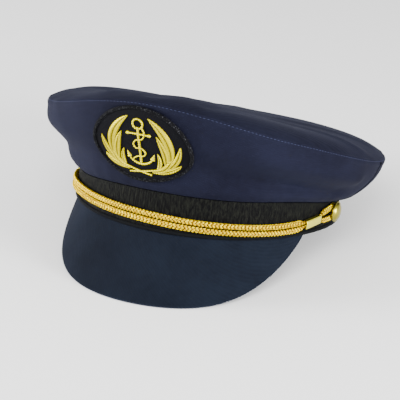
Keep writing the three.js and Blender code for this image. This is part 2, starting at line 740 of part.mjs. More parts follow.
// Side buttons: turned round their own axis, which then points out of the band
function makeButton() {
  const back = CORD_CLEARANCE + 2 * CORD_HALF_DEPTH + GAP;
  const dome = spread(0, Math.PI / 2, DOME_STEPS + 1).map(
    (turn) =>
      new THREE.Vector2(BUTTON_RADIUS * Math.cos(turn), back + BUTTON_EDGE + BUTTON_DOME * Math.sin(turn)),
  );
  dome[dome.length - 1].x = 0;
  const profile = [
    new THREE.Vector2(0, GAP),
    new THREE.Vector2(SHANK_RADIUS, GAP),
    new THREE.Vector2(SHANK_RADIUS, back),
    new THREE.Vector2(BUTTON_RADIUS, back),
    ...dome,
  ];
  return closedBody(new THREE.LatheGeometry(profile, BUTTON_SIDES));
}

function placeButton(name, side) {
  const angle = trimAngle(side);
  const button = addPiece(name, makeButton(), PALE_BRASS);
  button.position.copy(onBand(angle, 0, BUTTON_LEVEL));
  button.quaternion.setFromUnitVectors(new THREE.Vector3(0, 1, 0), bandNormal(angle));
}

// Badge: x and y are millimetres across and up the patch, lift is the height over the crown's cloth
const badgeArc = (() => {
  const levels = spread(0, 1, 41);
  const points = levels.map((level) => crownSide(BADGE_ANGLE * DEGREE, level));
  const lengths = [0];
  for (let k = 1; k < points.length; k += 1) {
    lengths.push(lengths[k - 1] + points[k].distanceTo(points[k - 1]));
  }
  return { levels, lengths };
})();

function onBadge(x, y, lift) {
  const start = throughPoints(badgeArc.levels, badgeArc.lengths, BADGE_LEVEL);
  const level = throughPoints(badgeArc.lengths, badgeArc.levels, start + y);
  const radius = crownSide(BADGE_ANGLE * DEGREE, level);
  const angle = BADGE_ANGLE * DEGREE + x / Math.hypot(radius.x, radius.y);
  return crownSide(angle, level).addScaledVector(crownNormal(angle, level), lift);
}

function makePatch() {
  const edge = 2 * RIM_RADIUS + GAP;
  const reaches = [1, 0.76, 0.52, 0.26, 0];
  const face = (lift) =>
    columnsRound(RIM_STEPS / 2, (turn) =>
      reaches.map((reach) => {
        const x = (BADGE_HALF_WIDTH - edge) * reach * Math.cos(turn);
        const y = (BADGE_HALF_HEIGHT - edge) * reach * Math.sin(turn);
        return onBadge(x, y, lift);
      }),
    );
  return slab(face(GAP + PATCH_WALL), face(GAP), { ring: true, pole: true });
}

function makeRim() {
  const points = columnsRound(RIM_STEPS, (turn) =>
    onBadge(
      (BADGE_HALF_WIDTH - RIM_RADIUS) * Math.cos(turn),
      (BADGE_HALF_HEIGHT - RIM_RADIUS) * Math.sin(turn),
      GAP + RIM_RADIUS,
    ),
  );
  const route = new THREE.CatmullRomCurve3(points, true);
  return closedBody(new THREE.TubeGeometry(route, RIM_STEPS, RIM_RADIUS, RIM_SIDES, true));
}

// The same for the embroidery, whose x and y are those of the design before it is turned
function onDesign(x, y, lift) {
  const turned = flat(x, y).rotateAround(flat(0, 0), DESIGN_TURN * DEGREE);
  return onBadge(turned.x, turned.y + DESIGN_UP, lift);
}

// A raised ridge of thread along a flat curve on the patch
function ridge(route, steps, halfWidth, layer, { ring = false } = {}) {
  const base = GAP + PATCH_WALL + GAP + layer * THREAD_LAYER;
  const across = [-1, 0, 1];
  const shares = ring ? spread(0, 1, steps + 1).slice(0, -1) : spread(0, 1, steps + 1);
  const face = (raised) =>
    shares.map((share) => {
      const point = route.getPoint(share);
      const way = route.getTangent(share);
      const half = halfWidth(share);
      return across.map((place) => {
        const height = raised ? THREAD_EDGE + THREAD_CREST * (1 - place ** 2) : 0;
        return onDesign(point.x - way.y * half * place, point.y + way.x * half * place, base + height);
      });
    });
  return slab(face(true), face(false), { ring });
}

function leafWidth(half) {
  return (share) => Math.max(half * Math.sin(Math.PI * share ** 0.8) ** 0.75, 0.12 * half);
}

function evenWidth(half) {
  return () => half;
}

function flat(x, y) {
  return new THREE.Vector2(x, y);
}

function sprig(row, side) {
  const x = side * BADGE_HALF_WIDTH * WREATH_SPREAD;
  const y = BADGE_HALF_HEIGHT;
  return new THREE.QuadraticBezierCurve(
    flat(row.rootX * x, row.rootY * y),
    flat(row.bowX * x, row.bowY * y),
    flat(row.tipX * x, row.tipY * y),
  );
}

function makeWreath() {
  const pieces = [];
  for (const side of [-1, 1]) {
    LAUREL_LEAVES.forEach((leaf, layer) => {
      pieces.push(ridge(sprig(leaf, side), LEAF_STEPS, leafWidth(leaf.half * BADGE_HALF_WIDTH), layer));
    });
    const above = LAUREL_LEAVES.length + (side + 1) / 2;
    pieces.push(ridge(sprig(STEM, side), STEM_STEPS, evenWidth(STEM.half * BADGE_HALF_WIDTH), above));
  }
  return joined(pieces);
}

function makeAnchor() {
  const unit = BADGE_HALF_HEIGHT * ANCHOR_SHARE;
  const size = (key) => ANCHOR[key] * unit;
  const line = (fromX, fromY, toX, toY) => new THREE.LineCurve(flat(fromX, fromY), flat(toX, toY));
  const pieces = [];
  const ring = new THREE.EllipseCurve(0, size("ringLevel"), size("ringRadius"), size("ringRadius"));
  pieces.push(ridge(ring, RING_STEPS, evenWidth(size("thread")), 1, { ring: true }));
  const shank = line(0, size("shankFoot"), 0, size("shankTop"));
  pieces.push(ridge(shank, STEM_STEPS, evenWidth(size("shankHalf")), 0));
  const stock = line(-size("stockHalf"), size("stockLevel"), size("stockHalf"), size("stockLevel"));
  pieces.push(ridge(stock, STEM_STEPS, evenWidth(size("thread")), 2));
  const sweep = size("armRadius");
  const low = -90 * DEGREE;
  const half = ANCHOR.armSweep * DEGREE;
  const arms = new THREE.EllipseCurve(0, size("armCentre"), sweep, sweep, low - half, low + half);
  pieces.push(ridge(arms, ARM_STEPS, (share) => size("shankHalf") * (1.15 - 0.9 * (2 * share - 1) ** 2), 1));
  for (const side of [-1, 1]) {
    const knob = side * size("stockHalf");
    const round = (share) => size("knob") * Math.max(Math.sin(Math.PI * share), 0.2);
    const [left, right] = [knob - size("knob"), knob + size("knob")];
    const knobLine = line(left, size("stockLevel"), right, size("stockLevel"));
    pieces.push(ridge(knobLine, 2, round, 3));
    const turn = low + side * half;
    const tip = flat(sweep * Math.cos(turn), size("armCentre") + sweep * Math.sin(turn));
    const back = turn - side * (size("flukeLength") / sweep);
    const heel = flat(sweep * Math.cos(back), size("armCentre") + sweep * Math.sin(back));
    const head = tip.clone().sub(heel).multiplyScalar(1.2).add(heel);
    const barb = (share) => size("flukeHalf") * Math.max(1 - share, 0.08);
    pieces.push(ridge(line(heel.x, heel.y, head.x, head.y), 2, barb, 3));
  }
  const rope = new THREE.SplineCurve(ROPE_ROUTE.map((point) => flat(point.x * unit, point.y * unit)));
  pieces.push(ridge(rope, ROPE_STEPS, evenWidth(ROPE_HALF * unit), 4));
  return joined(pieces);
}

// Assembly
addPiece("band", makeBand(), BLACK_WEAVE);
addPiece("band_piping", makePiping(), BLACK_WEAVE);
addPiece("crown_side", makeCrownSide(), NAVY_CLOTH);
addPiece("crown_top", makeCrownTop(), NAVY_CLOTH);
addPiece("visor", makeVisor(), NAVY_CLOTH);
addPiece("chin_cord", makeCord(), GOLD_CORD);
addPiece("keeper_left", makeKeeper(keepers[1]), PALE_BRASS);
addPiece("keeper_right", makeKeeper(keepers[0]), PALE_BRASS);
placeButton("side_button_left", 1);
placeButton("side_button_right", -1);
addPiece("badge_patch", makePatch(), BLACK_FELT);
addPiece("badge_rim", makeRim(), BLACK_FELT);
addPiece("badge_wreath", makeWreath(), GOLD_THREAD);
addPiece("badge_anchor", makeAnchor(), GOLD_THREAD);

// The origin lies under the middle of the hat's bounding box
const box = new THREE.Box3().setFromObject(hat, true);
hat.position.x -= (box.min.x + box.max.x) / 2;
hat.position.y -= (box.min.y + box.max.y) / 2;

const part = new THREE.Group();
part.add(hat);

export default part;
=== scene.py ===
# %% [markdown]
# # A captain hat, dressed around its CAD frame
# The CAD model says where every piece of the hat is. Here each of those pieces gets the surface
# that the eye expects: brushed twill, woven braid, plaited gold cord, brass and embroidery.
# The frame is loaded first and is never moved, so everything made below is fitted to it.

# %% Load the frame
import json
import math

import bpy
import numpy as np
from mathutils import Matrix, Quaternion, Vector
from mathutils.bvhtree import BVHTree

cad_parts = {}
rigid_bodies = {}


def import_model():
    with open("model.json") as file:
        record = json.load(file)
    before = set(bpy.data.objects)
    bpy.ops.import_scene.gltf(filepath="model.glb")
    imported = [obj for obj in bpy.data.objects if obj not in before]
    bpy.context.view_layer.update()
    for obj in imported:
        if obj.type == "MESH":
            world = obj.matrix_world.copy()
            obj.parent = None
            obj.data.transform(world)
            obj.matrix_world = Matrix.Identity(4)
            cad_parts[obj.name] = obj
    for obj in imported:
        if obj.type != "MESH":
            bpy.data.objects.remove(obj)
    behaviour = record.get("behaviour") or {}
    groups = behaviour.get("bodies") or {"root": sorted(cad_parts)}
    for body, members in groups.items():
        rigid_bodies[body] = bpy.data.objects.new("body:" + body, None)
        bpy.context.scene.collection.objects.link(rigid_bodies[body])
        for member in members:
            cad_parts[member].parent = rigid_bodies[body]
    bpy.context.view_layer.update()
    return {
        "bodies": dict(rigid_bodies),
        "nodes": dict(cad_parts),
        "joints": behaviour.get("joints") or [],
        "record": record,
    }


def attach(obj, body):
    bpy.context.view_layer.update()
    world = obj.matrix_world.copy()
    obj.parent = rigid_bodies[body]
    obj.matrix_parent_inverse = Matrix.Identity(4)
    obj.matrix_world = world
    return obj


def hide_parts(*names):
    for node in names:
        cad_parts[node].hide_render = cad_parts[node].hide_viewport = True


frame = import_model()
nodes = frame["nodes"]

# %% [markdown]
# Lengths are written in millimetres and turned to metres once, by the factor MM. Colours are
# written as sRGB hex values, as a colour picker shows them, and one function makes them linear.
# Operators act on whatever is selected, so a small helper first clears the selection.

# %% Small helpers
MM = 0.001


def linear(hex_colour):
    """Linear RGBA of an sRGB colour such as 0x23283f."""
    channels = [(hex_colour >> shift & 255) / 255 for shift in (16, 8, 0)]
    return tuple(c / 12.92 if c <= 0.04045 else ((c + 0.055) / 1.055) ** 2.4 for c in channels) + (1.0,)


def only(piece):
    """Make one object the only one selected, and the active one."""
    bpy.ops.object.select_all(action="DESELECT")
    piece.select_set(True)
    bpy.context.view_layer.objects.active = piece


def places(piece):
    """The vertices of a mesh as an array of points."""
    points = np.empty(3 * len(piece.data.vertices))
    piece.data.vertices.foreach_get("co", points)
    return points.reshape(-1, 3)


def move_to(piece, points):
    """Put the vertices of a mesh at new places."""
    piece.data.vertices.foreach_set("co", np.asarray(points, dtype=float).ravel())
    piece.data.update()


def edit(piece):
    """Enter edit mode with everything selected."""
    only(piece)
    bpy.ops.object.mode_set(mode="EDIT")
    bpy.ops.mesh.select_mode(type="FACE")
    bpy.ops.mesh.select_all(action="SELECT")


def leave():
    """Back to object mode."""
    bpy.ops.object.mode_set(mode="OBJECT")


def select_faces(piece, wanted):
    """Select the faces that a test picks by their middle and normal. Ends in edit mode."""
    leave()
    for face in piece.data.polygons:
        face.select = bool(wanted(face.center, face.normal))
    bpy.ops.object.mode_set(mode="EDIT")


def dress(piece, material, slot, *replaced):
    """Give a finished piece its material and its body, and hide the nodes it stands for. slot is not
    used.
    """
    piece.data.materials.clear()
    piece.data.materials.append(material)
    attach(piece, "root")
    if replaced:
        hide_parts(*replaced)
    print(f"{piece.name}: {len(piece.data.polygons)} faces")


# %% [markdown]
# The hat leans back on the table, but its pieces are easiest to place in the hat's own frame,
# where the band stands upright. The band's wall tells that frame: "up" is the one direction that
# none of its wall faces looks in. Its middle and its half-sizes are then read off its vertices.

# %% The hat's own frame
BAND_HEIGHT = 18.2 * MM
WALL_TILT = 0.2


def upright_of(node):
    """The direction that is square to all the wall faces of a node."""
    normals = np.array([face.normal for face in node.data.polygons])
    areas = np.array([face.area for face in node.data.polygons])
    walls = np.ones(len(areas), dtype=bool)
    for _ in range(2):
        spread = (normals[walls] * areas[walls, None]).T @ normals[walls]
        up = np.linalg.eigh(spread)[1][:, 0]
        walls = np.abs(normals @ up) < WALL_TILT
    return up * np.sign(up[2])


hat_up = upright_of(nodes["band"])
hat_left = np.array([1.0, 0.0, 0.0])
hat_back = np.cross(hat_up, hat_left)
HAT_AXES = np.array([hat_left, hat_back, hat_up])

band_points = places(nodes["band"]) @ HAT_AXES.T
band_low, band_high = band_points.min(0), band_points.max(0)
BAND_HALF_WIDTH, BAND_HALF_LENGTH = (band_high - band_low)[:2] / 2
hat_middle = (band_low + band_high) / 2
beside = np.abs(band_points[:, 1] - hat_middle[1]) < 2 * MM
hat_middle[2] = band_points[beside, 2].max() - BAND_HEIGHT


def to_hat(points):
    """Points of the room, in the hat's own frame."""
    return np.asarray(points) @ HAT_AXES.T - hat_middle


def to_room(points):
    """Points of the hat's own frame, in the room."""
    return (np.asarray(points) + hat_middle) @ HAT_AXES


def angles_round(points):
    """The angle of each point round the hat, 0 at the front and positive to the wearer's left."""
    return np.arctan2(points[:, 0], -points[:, 1])


lean = math.degrees(math.atan2(hat_up[1], hat_up[2]))
print(f"the hat leans back {lean:.2f} degrees, half-width {BAND_HALF_WIDTH / MM:.1f} mm")

# %% [markdown]
# Places on the band are given by an angle round the head, a distance out from its wall and a
# height. The band is an ellipse, so "out" is the ellipse's own normal and not the radius.

# %% Places on the band
def band_normal(angle):
    """Unit normals of the band's wall at some angles, in the hat's frame."""
    angle = np.atleast_1d(angle)
    normal = np.stack([
        np.sin(angle) / BAND_HALF_WIDTH**2,
        -np.cos(angle) / BAND_HALF_LENGTH**2,
        np.zeros_like(angle),
    ], axis=1)
    return normal / np.linalg.norm(normal, axis=1)[:, None]


def band_radius(angle):
    """How far the band's wall is from the middle of the head."""
    return 1 / np.hypot(np.sin(angle) / BAND_HALF_WIDTH, np.cos(angle) / BAND_HALF_LENGTH)


def on_band(angle, outward, height):
    """Points beside the band, in the hat's frame."""
    angle = np.atleast_1d(angle)
    radius = band_radius(angle)
    height = np.broadcast_to(height, angle.shape)
    wall = np.stack([radius * np.sin(angle), -radius * np.cos(angle), height], axis=1)
    return wall + band_normal(angle) * np.reshape(outward, (-1, 1))


band_loop = 2 * math.pi * band_radius(np.linspace(0, 2 * math.pi, 360)).mean()
print(f"the band is about {band_loop / MM:.0f} mm round on its outside")

# %% [markdown]
# The camera comes before the pieces. A long lens far from the hat gives the picture its flat,
# catalogue look. It looks down a little more than twenty degrees from the wearer's left of the
# front, and it is turned by a few degrees, as the photographer held it.

# %% Camera
CAMERA_AZIMUTH = math.radians(21.79)
CAMERA_ELEVATION = math.radians(22.75)
CAMERA_ROLL = math.radians(2.76)
CAMERA_DISTANCE = 1200 * MM
CAMERA_AIM = Vector((-2.7, -10.6, 24.2)) * MM
LENS_MM = 160.1
SENSOR_MM = 36


def aim_camera():
    """A camera that looks at CAMERA_AIM from the photograph's angle."""
    back = Vector((
        math.sin(CAMERA_AZIMUTH) * math.cos(CAMERA_ELEVATION),
        -math.cos(CAMERA_AZIMUTH) * math.cos(CAMERA_ELEVATION),
        math.sin(CAMERA_ELEVATION),
    ))
    bpy.ops.object.camera_add(location=CAMERA_AIM + back * CAMERA_DISTANCE)
    camera = bpy.context.object
    camera.name = "studio_camera"
    camera.data.lens = LENS_MM
    camera.data.sensor_width = SENSOR_MM
    camera.rotation_mode = "QUATERNION"
    camera.rotation_quaternion = (-back).to_track_quat("-Z", "Y") @ Quaternion((0, 0, 1), CAMERA_ROLL)
    bpy.context.scene.camera = camera
    return camera


camera = aim_camera()
print("camera at", [round(v, 3) for v in camera.location])

# %% [markdown]
# A plain pale floor, a bright even room and three large soft lamps. The room's light does most of
# the work. Two lamps stand left and right, so that both ends of the crown are brighter than its
# middle, as they are on the real hat. The third hangs in front and above. It models the folds:
# a fold's upper side catches its light and its lower side doesn't.

# %% Floor and light
FLOOR_SIDE = 6.0
ROOM_LIGHT = 0.98
LAMP_AIM = Vector((0, 0, 0.06))

# Each lamp has its place and its side in metres, and its watts.
LAMPS = {
    "lamp_left": ((-1.3, -0.6, 0.2), 0.6, 68),
    "lamp_right": ((1.5, -0.4, 0.35), 0.6, 66),
    "lamp_above": ((0.2, -1.35, 1.05), 0.9, 34),
}


def make_floor():
    """A plain pale sheet under the hat."""
    bpy.ops.mesh.primitive_plane_add(size=FLOOR_SIDE, location=(0, 0, 0))
    floor = bpy.context.object
    floor.name = "studio_floor"
    paint = bpy.data.materials.new("Matt white paper")
    paint.use_nodes = True
    shader = paint.node_tree.nodes["Principled BSDF"]
    shader.inputs["Base Color"].default_value = linear(0xF7F7F7)
    shader.inputs["Roughness"].default_value = 0.9
    floor.data.materials.append(paint)


def make_lamp(name, place, size, watts):
    """A square soft lamp that looks at the hat."""
    bpy.ops.object.light_add(type="AREA", location=place)
    lamp = bpy.context.object
    lamp.name = name
    lamp.data.size = size
    lamp.data.energy = watts
    aim = LAMP_AIM - Vector(place)
    lamp.rotation_euler = aim.to_track_quat("-Z", "Y").to_euler()


def light_room(brightness):
    """An even pale room all round."""
    world = bpy.data.worlds.new("Pale studio")
    world.use_nodes = True
    background = world.node_tree.nodes["Background"]
    background.inputs["Color"].default_value = linear(0xFFFFFF)
    background.inputs["Strength"].default_value = brightness
    bpy.context.scene.world = world


make_floor()
light_room(ROOM_LIGHT)
for lamp_name, (lamp_place, lamp_side, lamp_watts) in LAMPS.items():
    make_lamp(lamp_name, lamp_place, lamp_side, lamp_watts)
print(f"floor, room and {len(LAMPS)} lamps")

# %% [markdown]
# One function adds a shader node, sets it and links it. Every material below is built with it,
# so a material reads as a list of what it is made of. Sockets go by their name or their number.
# A Mix node has a set of sockets for each kind of data. In a colour mix, socket 0 is the share,
# sockets 6 and 7 are the two colours, and the mixed colour is output 2.

# %% Add a node
def add_node(tree, kind, settings=None, links=None):
    """Add a node. settings sets properties and unlinked sockets, links feeds its sockets."""
    node = tree.nodes.new(kind)
    for key, value in (settings or {}).items():
        if isinstance(key, str) and hasattr(node, key):
            setattr(node, key, value)
        else:
            node.inputs[key].default_value = value
    for key, source in (links or {}).items():
        tree.links.new(source, node.inputs[key])
    return node


def start_material(name, roughness, metallic=0.0):
    """A new material, its node tree and its main shader."""
    material = bpy.data.materials.new(name)
    material.use_nodes = True
    shader = material.node_tree.nodes["Principled BSDF"]
    shader.inputs["Roughness"].default_value = roughness
    shader.inputs["Metallic"].default_value = metallic
    return material, material.node_tree, shader


# %% [markdown]
# The crown and the peak are brushed cotton twill. Cotton has an IOR of about 1.5 and scatters
# nearly all of its light, so it is rough, with a soft sheen where fibres stand up at the edges.
# Real twill has a line about every 0.5 mm. That is finer than a picture of a whole hat shows, so
# the lines here are drawn coarser, at 1.2 mm, shallow, and broken up by small slubs. A Wave
# Texture of scale 1 has twenty radians to a metre, so its scale is WAVE_TURN over the pitch that
# is wanted.

# %% Brushed cotton twill
WAVE_TURN = 2 * math.pi / 20
TWILL_LINE = 1.2 * MM
TWILL_TURN = (0.5, 0.9, 0.6)
TWILL_RELIEF = 0.25 * MM
SLUB = 4.0 * MM
CLOTH_SHADE = 45 * MM
LINE_SHADE = 0.2


def twill(name, ground, lit, sheen):
    """Navy twill: a diagonal line, small slubs and broad, soft changes of shade."""
    material, tree, shader = start_material(name, 0.86)
    place = add_node(tree, "ShaderNodeTexCoord").outputs["Object"]
    shade = add_node(
        tree, "ShaderNodeTexNoise", {"Scale": 1 / CLOTH_SHADE, "Detail": 3.0}, {"Vector": place}
    )
    slub = add_node(tree, "ShaderNodeTexNoise", {"Scale": 1 / SLUB, "Detail": 5.0}, {"Vector": place})
    mixed = add_node(
        tree, "ShaderNodeMath", {"operation": "MULTIPLY_ADD", 1: 0.35},
        {0: slub.outputs["Fac"], 2: shade.outputs["Fac"]},
    )
    share = add_node(
        tree, "ShaderNodeMapRange", {"From Min": 0.45, "From Max": 0.9}, {"Value": mixed.outputs[0]}
    )
    turned = add_node(tree, "ShaderNodeMapping", {"Rotation": TWILL_TURN}, {"Vector": place})
    line = add_node(
        tree, "ShaderNodeTexWave",
        {"Scale": WAVE_TURN / TWILL_LINE, "Distortion": 3.0, "Detail": 2.0, "Detail Scale": 0.4},
        {"Vector": turned.outputs["Vector"]},
    )
    relief = add_node(
        tree, "ShaderNodeMath", {"operation": "MULTIPLY_ADD", 1: 0.5},
        {0: line.outputs["Fac"], 2: slub.outputs["Fac"]},
    )
    woven = add_node(
        tree, "ShaderNodeMath", {"operation": "MULTIPLY_ADD", 1: LINE_SHADE, "use_clamp": True},
        {0: line.outputs["Fac"], 2: share.outputs["Result"]},
    )
    colour = add_node(
        tree, "ShaderNodeMix", {"data_type": "RGBA", 6: linear(ground), 7: linear(lit)},
        {0: woven.outputs[0]},
    )
    tree.links.new(colour.outputs[2], shader.inputs["Base Color"])
    bump = add_node(
        tree, "ShaderNodeBump", {"Strength": 0.5, "Distance": TWILL_RELIEF}, {"Height": relief.outputs[0]}
    )
    tree.links.new(bump.outputs["Normal"], shader.inputs["Normal"])
    shader.inputs["IOR"].default_value = 1.5
    shader.inputs["Specular IOR Level"].default_value = 0.06
    shader.inputs["Specular Tint"].default_value = linear(0xC4C8EC)
    shader.inputs["Sheen Weight"].default_value = sheen
    shader.inputs["Sheen Roughness"].default_value = 0.45
    shader.inputs["Sheen Tint"].default_value = linear(0x9DA6D6)
    return material


crown_twill = twill("Brushed cotton twill, navy", 0x0B0B14, 0x12131F, sheen=0.02)
visor_twill = twill("Cotton twill over board, navy", 0x090C12, 0x10141C, sheen=0.015)
print("two navy twills")

# %% [markdown]
# The CAD crown is a closed wall of cloth, but its facets show. A copy of it is merged, its
# triangles are joined back to quads, and a Subdivision Surface rounds them. The copy keeps the
# thickness of the cloth, and its edges turn over softly, as a sewn edge does.

# %% Smooth copies of the CAD cloth
MERGE_WITHIN = 0.02 * MM
FLAT_ENOUGH = math.radians(60)
SQUARE_ENOUGH = math.radians(80)
SHARP_TURN = math.radians(35)
CLOTH_EDGE = 0.7 * MM


def smooth_copy(node, name, levels, bevel):
    """A merged copy of a CAD node with bevelled edges, rounded and still in its place."""
    piece = bpy.data.objects.new(name, nodes[node].data.copy())
    bpy.context.collection.objects.link(piece)
    edit(piece)
    bpy.ops.mesh.remove_doubles(threshold=MERGE_WITHIN)
    bpy.ops.mesh.tris_convert_to_quads(face_threshold=FLAT_ENOUGH, shape_threshold=SQUARE_ENOUGH)
    bpy.ops.mesh.select_all(action="DESELECT")
    bpy.ops.mesh.select_mode(type="EDGE")
    bpy.ops.mesh.edges_select_sharp(sharpness=SHARP_TURN)
    bpy.ops.mesh.bevel(offset=bevel, segments=2, affect="EDGES")
    leave()
    rounding = piece.modifiers.new("Rounding", "SUBSURF")
    rounding.levels = levels
    rounding.render_levels = levels
    bpy.ops.object.modifier_apply(modifier=rounding.name)
    bpy.ops.object.shade_smooth()
    return piece


crown_side = smooth_copy("crown_side", "crown_side_cloth", 2, CLOTH_EDGE)
crown_top = smooth_copy("crown_top", "crown_top_cloth", 2, CLOTH_EDGE)
print("crown:", len(crown_side.data.vertices), "and", len(crown_top.data.vertices), "points")

# %% [markdown]
# The rim seam joins the side panel to the top panel. Its line is read off the CAD side panel: in
# each slice round the hat it is the highest point, and of those the outermost. A smooth closed
# line goes through them by way of a Fourier series, which suits anything that repeats.

# %% The line of the rim seam
RIM_SLICES = 48
SAME_HEIGHT = 0.05 * MM


def closed_curve(points, count):
    """Evenly spaced points of a smooth closed line through evenly spaced points."""
    terms = np.fft.rfft(points, axis=0)
    return np.fft.irfft(terms, n=count, axis=0) * count / len(points)


def rim_points():
    """The upper outer edge of the side panel, one point a slice, in the hat's frame."""
    points = to_hat(places(nodes["crown_side"]))
    slices = np.round(angles_round(points) / (2 * math.pi) * RIM_SLICES).astype(int) % RIM_SLICES
    found = []
    for k in range(RIM_SLICES):
        inside = points[slices == k]
        highest = inside[inside[:, 2] > inside[:, 2].max() - SAME_HEIGHT]
        found.append(highest[np.argmax(np.hypot(highest[:, 0], highest[:, 1]))])
    return np.array(found)


rim_line = rim_points()
rim_height_terms = np.fft.rfft(rim_line[:, 2])


def rim_height(angle):
    """Height of the rim seam over the hat's zero at some angles."""
    order = np.arange(len(rim_height_terms))
    weight = np.where(order == 0, 1, 2) / RIM_SLICES
    turn = np.exp(1j * np.outer(np.atleast_1d(angle), order))
    return np.real(turn @ (rim_height_terms * weight))


print(f"rim seam from {rim_line[:, 2].min() / MM:.0f} to {rim_line[:, 2].max() / MM:.0f} mm up")

# %% [markdown]
# Real cloth is never quite smooth. The side panel is eased onto the band, so short gathers stand
# up from its foot, and the thread of the rim seam puckers the cloth beside it. Both are small
# waves that fade away from their seam. Broad, slow waves come from the soft backing inside. Each
# set of waves is drawn once, and both panels and the seam between them follow it, so that no
# crack opens there.

# %% Waves of the crown's cloth
BAND_RAKE = 5.7 * MM
GATHER_DEPTH = 0.35 * MM
GATHER_REACH = 9 * MM
PUCKER_DEPTH = 0.22 * MM
PUCKER_REACH = 5 * MM
SAG_DEPTH = 0.5 * MM

# Each wave of the band's upper edge has its middle and width in degrees, and its height as a
# share of the band's.
EDGE_WAVES = [(-43, 24, -0.145), (58, 22, 0.115)]
rng = np.random.default_rng(7)


def band_top(angle):
    """Height of the band's upper edge, with the waves that the crown's cloth pulls into it."""
    rise = 0
    for middle, width, share in EDGE_WAVES:
        turns = (np.degrees(angle) - middle) / 360
        rise = rise + share * np.exp(-((360 * (turns - np.round(turns)) / width) ** 2))
    return BAND_HEIGHT * (1 + rise) + BAND_RAKE * np.cos(angle)


def ripple(low, high, terms):
    """A wave round the hat: several whole numbers of turns, each with its own phase."""
    return list(zip(rng.integers(low, high, terms), rng.uniform(0, 2 * math.pi, terms)))


def ripples(angle, wave):
    """A wave's height at some angles, about 1 at its highest."""
    return sum(np.sin(n * angle + phase) for n, phase in wave) / math.sqrt(2 * len(wave))


GATHERS = ripple(28, 55, 6)
PUCKERS = ripple(25, 50, 6)
SAGS = ripple(5, 13, 5)


def rim_shift(angle):
    """How far the rim seam and both panels beside it are moved out."""
    return PUCKER_DEPTH * ripples(angle, PUCKERS) + SAG_DEPTH * ripples(angle, SAGS)


edge_heights = [band_top(angle) / MM for angle in (0.0, math.pi)]
print("the band's upper edge in front and behind, in mm:", np.round(edge_heights, 1))

# %% [markdown]
# The folds of the crown are few and broad. Each is a crease: a soft ridge or valley that runs
# between two ends, with a width and a height. Heights are in millimetres, and a valley's is
# negative. On the side panel an end is a number of degrees round the hat and a share of the
# panel's height, and a width is in degrees. The panel is about as high as 30 of them are long. On
# the top panel ends and widths are in millimetres, measured from the hat's middle.

# %% Creases of the crown
DEGREES_HIGH = 30
SIDE_CREASES = [
    ((20, 0.62), (78, 0.56), 5, 3.4),
    ((22, 0.28), (76, 0.22), 5, -4.2),
    ((6.8, 0.02), (6.0, 0.3), 1.6, -0.8),
    ((-34, 0.2), (-62, 0.42), 5, -1.4),
    ((-40, 0.62), (-80, 0.7), 6, 1.2),
    ((110, 0.3), (140, 0.62), 5, -1.2),
    ((-118, 0.6), (-150, 0.35), 5, -1.2),
    ((172, 0.35), (195, 0.6), 6, 1.0),
]
TOP_CREASES = [
    ((48, -26), (108, -14), 6, 1.2),
    ((40, 14), (98, 26), 7, 1.0),
    ((-4, -104), (-12, -66), 8, -2.2),
    ((8, -84), (14, -52), 7, 1.6),
    ((-36, -98), (-38, -70), 9, 1.4),
    ((30, -98), (42, -62), 8, -1.3),
    ((-96, -20), (-50, -34), 8, -1.0),
    ((-60, 60), (-20, 84), 9, 1.0),
]


def beside_line(x, y, crease):
    """Height of a soft crease at places x, y. A crease is its two ends, width and height."""
    (from_x, from_y), (to_x, to_y), width, height = crease
    run_x, run_y = to_x - from_x, to_y - from_y
    share = np.clip(((x - from_x) * run_x + (y - from_y) * run_y) / (run_x**2 + run_y**2), 0, 1)
    distance = np.hypot(x - from_x - share * run_x, y - from_y - share * run_y)
    return height * np.exp(-((distance / width) ** 2))


def side_creases(angle, level):
    """How far the creases move the side panel out. They fade at its foot and at its rim."""
    degrees = np.degrees(angle)
    rise = level * DEGREES_HIGH
    total = 0
    for (from_turn, from_level), (to_turn, to_level), width, height in SIDE_CREASES:
        first = (from_turn, from_level * DEGREES_HIGH)
        second = (to_turn, to_level * DEGREES_HIGH)
        total = total + beside_line(degrees, rise, (first, second, width, height * MM))
    return total * np.clip(4 * level * (1 - level), 0, 1)


def top_creases(points):
    """How far the creases lift the top panel."""
    x, y = points[:, 0] / MM, points[:, 1] / MM
    return sum(beside_line(x, y, crease) for crease in TOP_CREASES) * MM


print(f"{len(SIDE_CREASES)} creases in the side panel and {len(TOP_CREASES)} in the top panel")

# %% [markdown]
# Now the cloth is moved. Each point of a panel goes in or out by the waves at its place, and less
# so towards the middle of the top. The side panel's creases move it out too, and the top panel's
# lift it. Just below the rim the side panel has a lip, where the turned-in cloth fills it.

# %% Work the cloth
LIP_DEPTH = 0.7 * MM
LIP_BELOW = 2.2 * MM
LIP_REACH = 2.2 * MM


